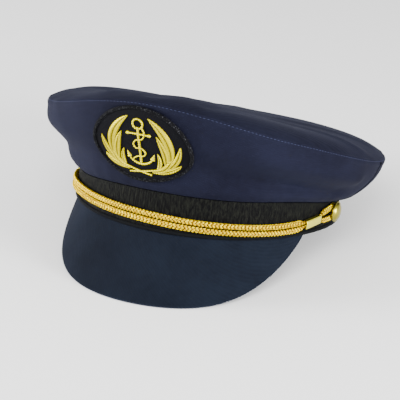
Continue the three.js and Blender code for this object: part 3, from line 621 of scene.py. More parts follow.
def work_cloth(piece):
    """Move the cloth in and out by its creases, gathers, puckers and slow sag."""
    points = to_hat(places(piece))
    angle = angles_round(points)
    above_foot = np.maximum(points[:, 2] - band_top(angle), 0)
    below_rim = np.abs(rim_height(angle) - points[:, 2])
    gathers = GATHER_DEPTH * ripples(angle, GATHERS) * np.exp(-((above_foot / GATHER_REACH) ** 2))
    puckers = PUCKER_DEPTH * ripples(angle, PUCKERS) * np.exp(-((below_rim / PUCKER_REACH) ** 2))
    sag = SAG_DEPTH * ripples(angle, SAGS) * np.minimum(above_foot / GATHER_REACH, 1)
    outward = points * [1, 1, 0]
    reach = np.linalg.norm(outward, axis=1)[:, None]
    outward /= np.maximum(reach, MM)
    fade = np.minimum(reach[:, 0] / BAND_HALF_WIDTH, 1) ** 4
    level = above_foot / np.maximum(rim_height(angle) - band_top(angle), MM)
    if piece == crown_side:
        lip = LIP_DEPTH * np.exp(-(((below_rim - LIP_BELOW) / LIP_REACH) ** 2))
        points += outward * (lip + side_creases(angle, np.minimum(level, 1)))[:, None]
    else:
        points[:, 2] += top_creases(points) * np.clip(below_rim / PUCKER_REACH, 0, 1)
    points += outward * ((gathers + puckers + sag) * fade)[:, None]
    move_to(piece, to_room(points))


work_cloth(crown_side)
work_cloth(crown_top)
dress(crown_side, crown_twill, "navy_cloth", "crown_side")
dress(crown_top, crown_twill, "navy_cloth", "crown_top")

# %% [markdown]
# What follows is laid along lines: seams, stitches, piping, cord and embroidery. A few small
# functions say which way a line runs at each of its points, and how long it is so far.

# %% Directions and lengths along a line
def unit(vectors):
    """Rows of unit length."""
    return vectors / np.linalg.norm(vectors, axis=1)[:, None]


def tangents(path, closed):
    """The direction of a line at each of its points."""
    if closed:
        return unit(np.roll(path, -1, axis=0) - np.roll(path, 1, axis=0))
    return unit(np.gradient(path, axis=0))


def lengths_along(path):
    """How far along a line each of its points is."""
    return np.concatenate([[0], np.cumsum(np.linalg.norm(np.diff(path, axis=0), axis=1))])


def steps_round(path):
    """The distance from each point of a closed line to the next."""
    return np.linalg.norm(np.diff(path, axis=0, append=path[:1]), axis=1)


print(f"the rim seam is {steps_round(rim_line).sum() / MM:.0f} mm long")

# %% [markdown]
# Seams, piping, cord and the badge's edge are all long thin rolls. Each starts as a flat grid of
# faces, one unit wide and long. Its columns are laid along a line and its rows are wrapped round
# it. Where the grid meets itself, its points are merged, which closes the seam. The grid's UV map
# is stretched to millimetres, along the roll and round it, so that yarn can follow it.

# %% Wrap a grid round a line
SEAM_MERGE = 0.001 * MM


def flat_grid(name, columns, rows):
    """A flat grid of faces. x and y of its points run from -0.5 to 0.5."""
    bpy.ops.object.select_all(action="DESELECT")
    bpy.ops.mesh.primitive_grid_add(x_subdivisions=columns, y_subdivisions=rows, size=1)
    grid = bpy.context.object
    grid.name = name
    return grid


def close_up(piece):
    """Merge the points that meet, fill open ends and turn all faces outwards."""
    edit(piece)
    bpy.ops.mesh.remove_doubles(threshold=SEAM_MERGE)
    bpy.ops.mesh.fill_holes(sides=0)
    bpy.ops.mesh.normals_make_consistent(inside=False)
    leave()


def stretch_uv(piece, length, girth):
    """Stretch the grid's own UV map to millimetres."""
    layer = piece.data.uv_layers[0]
    layer.name = "Thread"
    uv = np.empty(2 * len(layer.data))
    layer.data.foreach_get("uv", uv)
    layer.data.foreach_set("uv", (uv.reshape(-1, 2) * [length / MM, girth / MM]).ravel())


def roll(name, path, outward, half_out, half_up, sides=10, closed=True):
    """A roll along a line of points in the room."""
    count = len(path)
    columns = count if closed else count - 1
    piece = flat_grid(name, columns, sides)
    grid = places(piece) + 0.5
    i = np.round(grid[:, 0] * columns).astype(int) % count
    turn = grid[:, 1:2] * 2 * math.pi
    way = tangents(path, closed)
    first = unit(outward - way * np.sum(outward * way, axis=1)[:, None])
    second = np.cross(way, first)
    half_out = np.broadcast_to(half_out, count)[i, None]
    half_up = np.broadcast_to(half_up, count)[i, None]
    move_to(piece, path[i] + first[i] * half_out * np.cos(turn) + second[i] * half_up * np.sin(turn))
    stretch_uv(piece, lengths_along(path)[-1], 2 * math.pi * float(half_up.mean()))
    close_up(piece)
    bpy.ops.object.shade_smooth()
    return piece


# %% [markdown]
# The rim seam stands up as a thin welt in the crown's own cloth, with the edges of both panels
# turned into it. The side panel is closed by two more seams, one at each side of the head. Each
# ends in a small nub at the rim. Their line is found by rays that are cast at the cloth from
# outside. Pieces that lie on each other keep the CAD model's gap.

# %% The rim seam and the side seams
GAP = 0.3 * MM
WELT_HALF_OUT = 0.55 * MM
WELT_HALF_UP = 0.8 * MM
WELT_SUNK = 0.95 * MM
WELT_RAISED = 0.1 * MM
WELT_STEPS = 384
SEAM_HALF_OUT = 0.35 * MM
SEAM_HALF_WIDTH = 1.0 * MM
SEAM_FOOT = 0.02
SEAM_TOP = 0.97
SEAM_STEPS = 60
NUB_SWELL = 1.1
NUB_PLACE = 0.97
NUB_REACH = 0.03
FAR_OUT = 250 * MM
SEAM_ANGLES = [math.radians(94.5), math.radians(-94.5)]


crown_tree = BVHTree.FromObject(crown_side, bpy.context.evaluated_depsgraph_get())


def beside_crown(angle, level):
    """A point on the outside of the side panel, and the way out of it, in the hat's frame."""
    foot = band_top(angle) + GAP
    height = foot + (rim_height(angle)[0] - foot) * level
    way = np.array([math.sin(angle), -math.cos(angle), 0.0])
    outside = to_room(way * FAR_OUT + [0, 0, height])
    hit = crown_tree.ray_cast(Vector(outside), Vector(-way @ HAT_AXES))
    assert hit[0] is not None, f"no cloth at {math.degrees(angle):.0f} degrees, level {level:.3f}"
    return to_hat(np.array(hit[0])), np.array(hit[1]) @ HAT_AXES.T


def along_crown(angles, levels):
    """The points beside the crown and the ways out of it, one for each angle and level."""
    found = [beside_crown(float(angle), float(level)) for angle, level in np.broadcast(angles, levels)]
    return np.array([point for point, _ in found]), np.array([way for _, way in found])


welt_path = closed_curve(rim_line, WELT_STEPS)
welt_out = unit(welt_path * [1, 1, 0])
welt_shift = rim_shift(angles_round(welt_path)) - WELT_SUNK
welt_path = welt_path + welt_out * welt_shift[:, None] + [0, 0, WELT_RAISED]
rim_welt = roll("rim_seam_welt", to_room(welt_path), welt_out @ HAT_AXES, WELT_HALF_OUT, WELT_HALF_UP, 8)
seam_twill = twill("Cotton twill in the shade of a seam, navy", 0x050509, 0x090A10, sheen=0.0)
dress(rim_welt, crown_twill, "navy_cloth")

for name, angle in zip(("side_seam_left", "side_seam_right"), SEAM_ANGLES):
    share = np.linspace(0, 1, SEAM_STEPS)
    line, out = along_crown(angle, SEAM_FOOT + (SEAM_TOP - SEAM_FOOT) * share)
    nub = 1 + NUB_SWELL * np.exp(-(((share - NUB_PLACE) / NUB_REACH) ** 2))
    seam = roll(
        name, to_room(line), out @ HAT_AXES, SEAM_HALF_OUT * nub, SEAM_HALF_WIDTH * nub, 8, closed=False
    )
    dress(seam, seam_twill, "navy_cloth")

# %% [markdown]
# A stitch is a short piece of thread that goes down into the cloth at both ends. One is modelled
# from a small sphere with its ends bent down. An Array modifier repeats it, and each copy is then
# moved to its own place, turned and stretched. The yarns of the cord are made in the same way.

# %% One stitch and its copies
def one_stitch(segments, rings, droop):
    """One stitch of half-length 1 along X, its ends bent down by droop, with a UV map."""
    bpy.ops.object.select_all(action="DESELECT")
    turned = (0, math.pi / 2, 0)
    bpy.ops.mesh.primitive_uv_sphere_add(segments=segments, ring_count=rings, radius=1, rotation=turned)
    stitch = bpy.context.object
    bpy.ops.object.transform_apply(rotation=True)
    edit(stitch)
    select_faces(stitch, lambda middle, normal: abs(middle.x) > 0.5)
    bpy.ops.transform.translate(value=(0, 0, -droop))
    leave()
    points = places(stitch)
    layer = stitch.data.uv_layers[0]
    layer.name = "Thread"
    flat = np.array([points[loop.vertex_index, :2] for loop in stitch.data.loops])
    layer.data.foreach_set("uv", flat.ravel())
    return stitch


def scatter(name, stitch, frames, centres, halves):
    """Many copies of a stitch in one mesh. frames holds the three axes of each copy."""
    only(stitch)
    stitch.name = name
    row = stitch.modifiers.new("Row", "ARRAY")
    row.count = len(centres)
    row.use_relative_offset = False
    bpy.ops.object.modifier_apply(modifier=row.name)
    points = places(stitch).reshape(len(centres), -1, 3)
    halves = np.broadcast_to(np.asarray(halves, dtype=float), (len(centres), 3))
    move_to(stitch, np.einsum("npk,nk,nkx->npx", points, halves, frames) + centres[:, None])
    bpy.ops.object.shade_smooth()
    return stitch


# %% [markdown]
# A line of small stitches, paler than the cloth, runs just below the rim seam, evenly spaced.
# Their thread is spun polyester, which is a little glossy, with a fuzz of fibres.

# %% Rim stitches
STITCH_PITCH = 2.5 * MM
STITCH_HALF = (0.85 * MM, 0.22 * MM, 0.2 * MM)
STITCH_DROOP = 0.3
STITCH_BELOW_RIM = 0.012
THREAD_FUZZ = 0.6 * MM
THREAD_RELIEF = 0.1 * MM


def rim_stitches():
    """Stitches just below the rim seam, all the way round."""
    count = round(steps_round(welt_path).sum() / STITCH_PITCH)
    angle = np.linspace(-math.pi, math.pi, count, endpoint=False)
    centres, out = along_crown(angle, 1 - STITCH_BELOW_RIM)
    along = tangents(centres, True)
    across = np.cross(out, along)
    frames = np.stack([along, across, unit(out)], axis=1) @ HAT_AXES
    return scatter("rim_stitches", one_stitch(6, 5, STITCH_DROOP), frames, to_room(centres), STITCH_HALF)


def thread_material(name, colour, roughness):
    """Plain sewing thread: slightly glossy spun polyester."""
    material, tree, shader = start_material(name, roughness)
    place = add_node(tree, "ShaderNodeTexCoord").outputs["Object"]
    fibre = add_node(
        tree, "ShaderNodeTexNoise", {"Scale": 1 / THREAD_FUZZ, "Detail": 2.0}, {"Vector": place}
    )
    shader.inputs["Base Color"].default_value = linear(colour)
    shader.inputs["Specular IOR Level"].default_value = 0.15
    bump = add_node(
        tree, "ShaderNodeBump", {"Strength": 0.3, "Distance": THREAD_RELIEF},
        {"Height": fibre.outputs["Fac"]},
    )
    tree.links.new(bump.outputs["Normal"], shader.inputs["Normal"])
    return material


seam_thread = thread_material("Spun polyester thread, grey blue", 0x262A40, 0.8)
dress(rim_stitches(), seam_thread, "navy_cloth")

# %% [markdown]
# The peak is twill stretched over a board. Its copy gets a small bevel on its edges before it is
# rounded, so that the board stays crisp.

# %% The peak
VISOR_EDGE = 0.5 * MM

visor = smooth_copy("visor", "visor_cloth", 2, VISOR_EDGE)
dress(visor, visor_twill, "navy_cloth", "visor")

# %% [markdown]
# The peak's edge is stitched all along, so its line is needed. It is worked out from the sizes of
# the real peak, as in the CAD model. The peak starts inside the band's wall, above the piping. It
# slopes down more steeply in front than at its sides, and its length falls to nothing at both ends
# of its span, along a rounded outline.

# %% The line of the peak's edge
BAND_WALL = 1.8 * MM
BAND_DIP = 2.2 * MM
BAND_EAR_RISE = 1.2 * MM
PIPING_RADIUS = 1.0 * MM
PIPING_PROUD = 0.9 * MM
VISOR_WALL = 2.4 * MM
VISOR_LENGTH = 47 * MM
VISOR_SPAN = math.radians(69.5)
VISOR_SLOPE = math.radians(57.5)
VISOR_SIDE_SLOPE = math.radians(46)
VISOR_TOE_IN = 0.07
VISOR_FULLNESS = 3.5
VISOR_ROUNDNESS = 1.6
VISOR_TUCK = 4 * MM
FLANGE_INSIDE = 2.3 * MM


def band_bottom(angle):
    """Height of the hat's lower line: it dips at the front and rises over the ears."""
    return BAND_EAR_RISE * np.sin(angle) ** 4 - BAND_DIP * np.maximum(np.cos(angle), 0) ** 2


def visor_shoulder():
    """How far above the lower line the peak leaves the band, so that it clears the piping."""
    rise = PIPING_PROUD - PIPING_RADIUS + FLANGE_INSIDE
    roll_up = PIPING_RADIUS + GAP
    under_roll = roll_up - (roll_up - rise * math.sin(VISOR_SLOPE)) / math.cos(VISOR_SLOPE)
    clear = (GAP - (FLANGE_INSIDE - BAND_WALL) * math.sin(VISOR_SLOPE)) / math.cos(VISOR_SLOPE)
    return min(under_roll, 2 * roll_up - clear)


def visor_point(share, along):
    """Points on the upper face of the peak: share runs across it, along runs out from the band."""
    angle = share * VISOR_SPAN
    start = on_band(angle, -FLANGE_INSIDE, band_bottom(angle) + visor_shoulder())
    heading = unit(np.array([0, -1 - VISOR_TOE_IN, 0]) - band_normal(angle) * VISOR_TOE_IN)
    outline = np.maximum(1 - np.abs(share) ** VISOR_FULLNESS, 0) ** (1 / VISOR_ROUNDNESS)
    length = (VISOR_TUCK + VISOR_LENGTH * outline) * along
    slope = VISOR_SLOPE + (VISOR_SIDE_SLOPE - VISOR_SLOPE) * share**2
    fall = [0, 0, 1] * (length * np.sin(slope))[:, None]
    return start + heading * (length * np.cos(slope))[:, None] - fall


visor_tip = visor_point(np.array([0.0]), 1.0)[0]
print(f"the peak's tip is {-visor_tip[1] / MM:.0f} mm in front of the head's middle")

# %% [markdown]
# The edge is closed by an overlock stitch, which shows as a row of fine teeth. Its threads stand
# evenly along the edge. Each wraps over the board's thickness, so its length is upright, its width
# lies along the edge and its height points out. Where the peak rests on the table, they are
# pressed flat.

# %% The overlock along the peak's edge
OVERLOCK_PITCH = 2.2 * MM
OVERLOCK_HALF = (1.25 * MM, 0.6 * MM, 0.42 * MM)
OVERLOCK_DROOP = 0.35
OVERLOCK_ENDS = 0.985
EDGE_STEPS = 4001
JUST_INSIDE = 0.97


def press_on_table(piece):
    """Thread is soft: what would go below the table is pressed flat on it."""
    points = places(piece)
    points[:, 2] = np.maximum(points[:, 2], 0)
    move_to(piece, points)
    return piece


def overlock():
    """Threads wrapped over the edge of the peak, from its upper face to its under side."""
    share = np.linspace(-OVERLOCK_ENDS, OVERLOCK_ENDS, EDGE_STEPS)
    edge = visor_point(share, 1.0)
    travelled = lengths_along(edge)
    count = round(travelled[-1] / OVERLOCK_PITCH)
    share = np.interp(np.linspace(0, travelled[-1], count), travelled, share)
    edge = visor_point(share, 1.0)
    along = tangents(edge, False)
    inward = unit(visor_point(share, JUST_INSIDE) - edge)
    up = unit(np.cross(along, -inward))
    out = np.cross(up, along)
    out *= np.sign(np.sum(out * -inward, axis=1))[:, None]
    up *= np.sign(up[:, 2:3])
    centres = edge - up * VISOR_WALL / 2
    frames = np.stack([up, np.cross(out, up), out], axis=1) @ HAT_AXES
    stitch = one_stitch(8, 6, OVERLOCK_DROOP)
    return press_on_table(scatter("visor_overlock", stitch, frames, to_room(centres), OVERLOCK_HALF))


edge_thread = thread_material("Spun polyester thread, dull navy", 0x252C3C, 0.7)
dress(overlock(), edge_thread, "navy_cloth", "visor")

# %% [markdown]
# The band is a stiff woven braid, black with a grey-green fleck in upright ribs. Its copy gets a
# small bevel, and a UV map that runs round the head in millimetres, so the ribs stand upright.

# %% Woven braid for the band
RIB_PITCH = 1.6 * MM
RIB_RELIEF = 0.5 * MM
FLECK_WIDTH = 2.2 * MM
FLECK_HEIGHT = 7.0 * MM
BAND_EDGE = 0.4 * MM


def wrap_uv(piece):
    """A UV map in millimetres: round the hat and up it."""
    points = to_hat(places(piece))
    angle = angles_round(points)
    radius = (BAND_HALF_WIDTH + BAND_HALF_LENGTH) / 2
    layer = piece.data.uv_layers.new(name="Round")
    for face in piece.data.polygons:
        first = angle[face.vertices[0]]
        for corner in face.loop_indices:
            vertex = piece.data.loops[corner].vertex_index
            turn = angle[vertex] - first
            turn -= 2 * math.pi * round(turn / (2 * math.pi))
            layer.data[corner].uv = ((first + turn) * radius / MM, points[vertex, 2] / MM)


def braid(name, ground, flecked):
    """Black mohair braid with upright ribs and flecks."""
    material, tree, shader = start_material(name, 0.78)
    place = add_node(tree, "ShaderNodeUVMap", {"uv_map": "Round"}).outputs["UV"]
    flecks = add_node(
        tree, "ShaderNodeMapping", {"Scale": (MM / FLECK_WIDTH, MM / FLECK_HEIGHT, 1)}, {"Vector": place}
    )
    metres = add_node(tree, "ShaderNodeMapping", {"Scale": (MM, MM, 1)}, {"Vector": place})
    fleck = add_node(
        tree, "ShaderNodeTexNoise", {"Scale": 1.6, "Detail": 4.0, "Roughness": 0.65, "Distortion": 0.6},
        {"Vector": flecks.outputs["Vector"]},
    )
    share = add_node(
        tree, "ShaderNodeMapRange", {"From Min": 0.42, "From Max": 0.72}, {"Value": fleck.outputs["Fac"]}
    )
    colour = add_node(
        tree, "ShaderNodeMix", {"data_type": "RGBA", 6: linear(ground), 7: linear(flecked)},
        {0: share.outputs["Result"]},
    )
    tree.links.new(colour.outputs[2], shader.inputs["Base Color"])
    rib = add_node(
        tree, "ShaderNodeTexWave", {"Scale": WAVE_TURN / RIB_PITCH, "Distortion": 2.0, "Detail": 2.0},
        {"Vector": metres.outputs["Vector"]},
    )
    relief = add_node(
        tree, "ShaderNodeMath", {"operation": "MULTIPLY_ADD", 1: 0.4},
        {0: rib.outputs["Fac"], 2: fleck.outputs["Fac"]},
    )
    bump = add_node(
        tree, "ShaderNodeBump", {"Strength": 0.8, "Distance": RIB_RELIEF}, {"Height": relief.outputs[0]}
    )
    tree.links.new(bump.outputs["Normal"], shader.inputs["Normal"])
    shader.inputs["Specular IOR Level"].default_value = 0.04
    return material


band = smooth_copy("band", "band_braid", 2, BAND_EDGE)
wrap_uv(band)
black_braid = braid("Mohair braid, black with a grey fleck", 0x040405, 0x161713)
dress(band, black_braid, "black_weave", "band")

# %% [markdown]
# The piping under the band is a cord wrapped in black cloth. It is a plain roll along the band's
# lower line. Where the hat stands on it, at the nape, the cloth is pressed flat: no point of it
# goes below the table.

# %% Piping under the band
PIPING_STEPS = 240
PIPING_SNUG = 0.28 * MM
PIPING_SIDES = 12

round_angles = np.linspace(-math.pi, math.pi, PIPING_STEPS, endpoint=False)
piping_height = band_bottom(round_angles) + GAP + PIPING_RADIUS + PIPING_SNUG
piping_line = on_band(round_angles, PIPING_PROUD - PIPING_RADIUS, piping_height)
piping_out = band_normal(round_angles) @ HAT_AXES
piping = roll(
    "band_piping_roll", to_room(piping_line), piping_out,
    PIPING_RADIUS, PIPING_RADIUS + PIPING_SNUG, PIPING_SIDES,
)
press_on_table(piping)
piping_cloth = twill("Cotton piping, black", 0x050506, 0x0C0D0C, sheen=0.0)
dress(piping, piping_cloth, "black_weave", "band_piping")

# %% [markdown]
# The chin strap is one closed loop of plaited cord. It lies double across the front, a keeper
# pinches the two strands together near each button, and each end goes round a button's shank. Its
# route repeats the sizes of the CAD cord, so the plait lies where the solid lies. A place on the
# strap is a share of the way from the middle to a button, and the strap hangs a little, so a few
# heights are given and a smooth line goes through them.

# %% Places on the chin strap
TRIM_ANGLE = math.radians(-2.5)
BUTTON_SPAN = math.radians(90)
BUTTON_LEVEL = 13.2 * MM
CORD_RADIUS = 2.0 * MM
CORD_PINCHED_RADIUS = 1.0 * MM
CORD_HALF_DEPTH = 1.6 * MM
CORD_CLEARANCE = 0.45 * MM
SHANK_RADIUS = 1.5 * MM
HANG_PLACES = np.array([-1, -0.87, -0.74, -0.44, -0.2, 0.04, 0.22, 0.42, 0.6, 0.73, 0.85, 1])
HANG_LEVELS = np.array([1, 0.8, 0.68, 0.7, 0.62, 0.54, 0.465, 0.44, 0.49, 0.62, 0.82, 1]) * BUTTON_LEVEL
shank_reach = SHANK_RADIUS + GAP + CORD_RADIUS


def trim_angle(place):
    """The angle of a place on the strap: -1 is the right button and 1 the left one."""
    return TRIM_ANGLE + place * BUTTON_SPAN


def through(spots, values, wanted):
    """A smooth line through a few values."""
    before = np.maximum(np.arange(len(spots)) - 1, 0)
    after = np.minimum(np.arange(len(spots)) + 1, len(spots) - 1)
    slopes = (values[after] - values[before]) / (spots[after] - spots[before])
    k = np.clip(np.searchsorted(spots, wanted) - 1, 0, len(spots) - 2)
    step = spots[k + 1] - spots[k]
    t = (wanted - spots[k]) / step
    start = (2 * t**3 - 3 * t**2 + 1) * values[k] + (t**3 - 2 * t**2 + t) * step * slopes[k]
    return start + (3 * t**2 - 2 * t**3) * values[k + 1] + (t**3 - t**2) * step * slopes[k + 1]


print(f"buttons {BUTTON_LEVEL / MM:.1f} mm up, the strap hangs down to {HANG_LEVELS.min() / MM:.1f} mm")

# %% [markdown]
# The two strands lie side by side across the front and under the keepers, where they are pinched
# thinner, a little past the keepers' ends. From there they spread until they are a shank apart at
# the button. The whole loop is one line of points, with the cord's radius at each.

# %% The route of the cord
KEEPER_LENGTH = 15 * MM
KEEPER_BACKS = {-1: 20.5 * MM, 1: 27.5 * MM}
KEEPER_GRIP = 1.1
PINCH_FADE = 0.7
OPENING_CURVE = 0.8
STRAND_STEPS = 420
LOOP_STEPS = 14


def keeper_at(side):
    """The place of a keeper's middle and its half-length, as shares of the span."""
    arc = BUTTON_SPAN * band_radius(trim_angle(side))
    return side * (1 - KEEPER_BACKS[side] / arc), KEEPER_LENGTH / 2 / arc


def beside_keeper(place):
    """For each place, the middle and half-length of the keeper on its side."""
    right, left = keeper_at(-1), keeper_at(1)
    middle = np.where(place < 0, right[0], left[0])
    half = np.where(place < 0, right[1], left[1])
    return middle, half


def strand_radius(place):
    """Half the height of a strand: less where a keeper pinches it."""
    middle, half = beside_keeper(place)
    away = np.clip((np.abs(place - middle) - KEEPER_GRIP * half) / half / PINCH_FADE, 0, 1)
    pinch = 1 - away * away * (3 - 2 * away)
    return CORD_RADIUS + (CORD_PINCHED_RADIUS - CORD_RADIUS) * pinch


def strand(place, side):
    """Points along the middle of the upper (side 1) or lower (side -1) strand."""
    middle, half = beside_keeper(place)
    start = np.abs(middle) + KEEPER_GRIP * half
    opening = np.clip((np.abs(place) - start) / (1 - start), 0, 1) ** OPENING_CURVE
    touching = strand_radius(place) + GAP / 2
    offset = touching + (shank_reach - touching) * opening
    height = through(HANG_PLACES, HANG_LEVELS, place) + side * offset
    return on_band(trim_angle(place), CORD_CLEARANCE + CORD_HALF_DEPTH, height)


def end_loop(side):
    """Points round a button's shank, from the upper strand to the lower one."""
    around = np.linspace(0, math.pi, LOOP_STEPS + 2)[1:-1]
    beyond = shank_reach * np.sin(around) / band_radius(trim_angle(side))
    height = BUTTON_LEVEL + shank_reach * np.cos(around)
    return on_band(trim_angle(side) + side * beyond, CORD_CLEARANCE + CORD_HALF_DEPTH, height)


def cord_route():
    """The whole loop: along the top, round the right shank, back and round the left shank."""
    place = np.linspace(-1, 1, STRAND_STEPS)
    path = np.concatenate([strand(place[::-1], 1), end_loop(-1), strand(place, -1), end_loop(1)[::-1]])
    loop = np.full(LOOP_STEPS, CORD_RADIUS)
    radius = np.concatenate([strand_radius(place[::-1]), loop, strand_radius(place), loop])
    return path, radius


cord_path, cord_radius = cord_route()
cord_steps = steps_round(cord_path)
cord_length = cord_steps.sum()
print(f"the strap is a loop of {cord_length / MM:.0f} mm of cord")

# %% [markdown]
# The plait: six rows of slanting yarn lie round a dark core, each row slanting the other way from
# its neighbours, which gives the herringbone of a braided cord. One yarn is a stretched sphere,
# copied along the route.

# %% The plait
PLAIT_PITCH = 2.4 * MM
PLAIT_ROWS = 6
YARN_HALF = (1.5 * MM, 0.72 * MM, 0.5 * MM)
YARN_SLANT = math.radians(38)
YARN_DROOP = 0.2


def along_route(count):
    """Evenly spaced points on the cord, with its radius and its three axes there."""
    travelled = np.concatenate([[0], np.cumsum(cord_steps)])
    wanted = np.linspace(0, cord_length, count, endpoint=False)
    ring = np.concatenate([cord_path, cord_path[:1]])
    radii = np.concatenate([cord_radius, cord_radius[:1]])
    path = np.stack([np.interp(wanted, travelled, ring[:, k]) for k in range(3)], axis=1)
    radius = np.interp(wanted, travelled, radii)
    way = tangents(path, True)
    out = band_normal(angles_round(path))
    out = unit(out - way * np.sum(out * way, axis=1)[:, None])
    return path, radius, way, out, np.cross(way, out)


def plait():
    """All the yarns of the cord in one mesh."""
    path, radius, way, out, side = along_route(round(cord_length / PLAIT_PITCH))
    depth = np.minimum(radius, CORD_HALF_DEPTH)
    yarn_depth = YARN_HALF[2] * radius / CORD_RADIUS
    centres, frames = [], []
    for row in range(PLAIT_ROWS):
        turn = 2 * math.pi * (row + 0.5) / PLAIT_ROWS
        slant = YARN_SLANT * (1 if row % 2 else -1)
        lift_out = (depth - yarn_depth) * math.cos(turn)
        lift_side = (radius - yarn_depth) * math.sin(turn)
        normal = unit(out * math.cos(turn) + side * math.sin(turn))
        long = way * math.cos(slant) + np.cross(way, normal) * math.sin(slant)
        centres.append(path + out * lift_out[:, None] + side * lift_side[:, None])
        frames.append(np.stack([long, np.cross(normal, long), normal], axis=1))
    centres, frames = np.concatenate(centres), np.concatenate(frames)
    halves = np.tile(np.outer(radius / CORD_RADIUS, YARN_HALF), (PLAIT_ROWS, 1))
    yarn = one_stitch(8, 6, YARN_DROOP)
    return scatter("chin_cord_plait", yarn, frames @ HAT_AXES, to_room(centres), halves)


print(f"{PLAIT_ROWS} rows of {round(cord_length / PLAIT_PITCH)} yarns")

# %% [markdown]
# Metallised yarn is polyester film under a thin coat of metal, so it shines as metal does, but
# broken up; that broken glint is painted into its colour as fine random flecks, lighter and darker.
# Its filaments lie along it, a dozen or more side by side. They are drawn coarser, about four to a
# yarn, which a close picture still shows. The core is the same yarn, painted darker and made duller,
# so that it hardly shines, to stand for the shade inside the plait.

# %% Metallised yarn, and the cord is dressed
YARN_GLINT = 1.2 * MM
FILAMENTS_ACROSS = 4.138
FILAMENT_RELIEF = 0.12 * MM
CORE_SHARE = 0.74
CORE_STEPS = 640


def gold_yarn(name, bright, dark, metallic, roughness):
    """Metallised yarn: warm gold with painted glint and painted shade in random flecks, and filaments in
    relief.
    """
    material, tree, shader = start_material(name, roughness, metallic)
    shader.inputs["Specular Tint"].default_value = linear(bright)
    place = add_node(tree, "ShaderNodeTexCoord").outputs["Object"]
    # painted glint and shade: noise mixes a darker and a brighter gold into the colour
    fleck = add_node(
        tree, "ShaderNodeTexNoise", {"Scale": 1 / YARN_GLINT, "Detail": 3.0}, {"Vector": place}
    )
    share = add_node(
        tree, "ShaderNodeMapRange", {"From Min": 0.35, "From Max": 0.65}, {"Value": fleck.outputs["Fac"]}
    )
    colour = add_node(
        tree, "ShaderNodeMix", {"data_type": "RGBA", 6: linear(dark), 7: linear(bright)},
        {0: share.outputs["Result"]},
    )
    tree.links.new(colour.outputs[2], shader.inputs["Base Color"])
    thread = add_node(tree, "ShaderNodeUVMap", {"uv_map": "Thread"}).outputs["UV"]
    filament = add_node(
        tree, "ShaderNodeTexWave",
        {"bands_direction": "Y", "Scale": WAVE_TURN * FILAMENTS_ACROSS / 2, "Distortion": 1.0},
        {"Vector": thread},
    )
    bump = add_node(
        tree, "ShaderNodeBump", {"Strength": 0.5, "Distance": FILAMENT_RELIEF},
        {"Height": filament.outputs["Fac"]},
    )
    tree.links.new(bump.outputs["Normal"], shader.inputs["Normal"])
    return material


cord_gold = gold_yarn(
    "Metallised polyester braid, gold", 0xE0CA00, 0xA87E00, metallic=1.0, roughness=0.5
)
# painted shade: the core is a darker, duller copy of the gold yarn, for the shade inside the plait
core_gold = gold_yarn(
    "Metallised braid, painted in the plait's shade", 0x7A5C0A, 0x4A3406, metallic=0.2, roughness=0.7
)
core_path, core_radius, _, core_out, _ = along_route(CORE_STEPS)
core = roll(
    "chin_cord_core", to_room(core_path), core_out @ HAT_AXES,
    np.minimum(core_radius, CORD_HALF_DEPTH) * CORE_SHARE, core_radius * CORE_SHARE,
)
dress(core, core_gold, "gold_cord", "chin_cord")
dress(plait(), cord_gold, "gold_cord", "chin_cord")

# %% [markdown]
# The keepers are bent strips of thin brass: copies of the CAD sleeves, bevelled and rounded.
# Polished brass is a metal, so its colour is that of its reflections. Fingers leave broad marks
# on it, which are a little rougher.

# %% The keepers
KEEPER_EDGE = 0.12 * MM
HANDLING_MARK = 5 * MM


def pale_brass(name, colour):
    """Pale polished brass with faint handling marks."""
    material, tree, shader = start_material(name, 0.28, 1.0)
    place = add_node(tree, "ShaderNodeTexCoord").outputs["Object"]
    mark = add_node(
        tree, "ShaderNodeTexNoise", {"Scale": 1 / HANDLING_MARK, "Detail": 4.0}, {"Vector": place}
    )
    share = add_node(
        tree, "ShaderNodeMapRange", {"To Min": 0.22, "To Max": 0.38}, {"Value": mark.outputs["Fac"]}
    )
    tree.links.new(share.outputs["Result"], shader.inputs["Roughness"])
    shader.inputs["Base Color"].default_value = linear(colour)
    return material


brass = pale_brass("Pale brass, polished", 0xE2D84A)
for node in ("keeper_left", "keeper_right"):
    dress(smooth_copy(node, f"{node}_sleeve", 1, KEEPER_EDGE), brass, "pale_brass", node)

# %% [markdown]
# The buttons are pressed brass discs on a shank. One starts as a low cylinder: its face is inset
# for the rim, sunk a little, and then raised by further insets to a dome. Its back is inset to the
# shank and extruded. A second button is a copy of it with its own mesh.

# %% The side buttons
BUTTON_RADIUS = 6.9 * MM
BUTTON_THICK = 1.3 * MM
BUTTON_RIM = 0.7 * MM
BUTTON_STEP = 0.15 * MM
BUTTON_SUNK = 0.45 * MM
BUTTON_EDGE = 0.2 * MM
BUTTON_BACK = CORD_CLEARANCE + 2 * CORD_HALF_DEPTH + GAP
DOME_INSETS = (0.5, 1.0, 1.4, 1.5, 1.2)
DOME_RISES = (0.9, 0.8, 0.5, 0.25, 0.1)


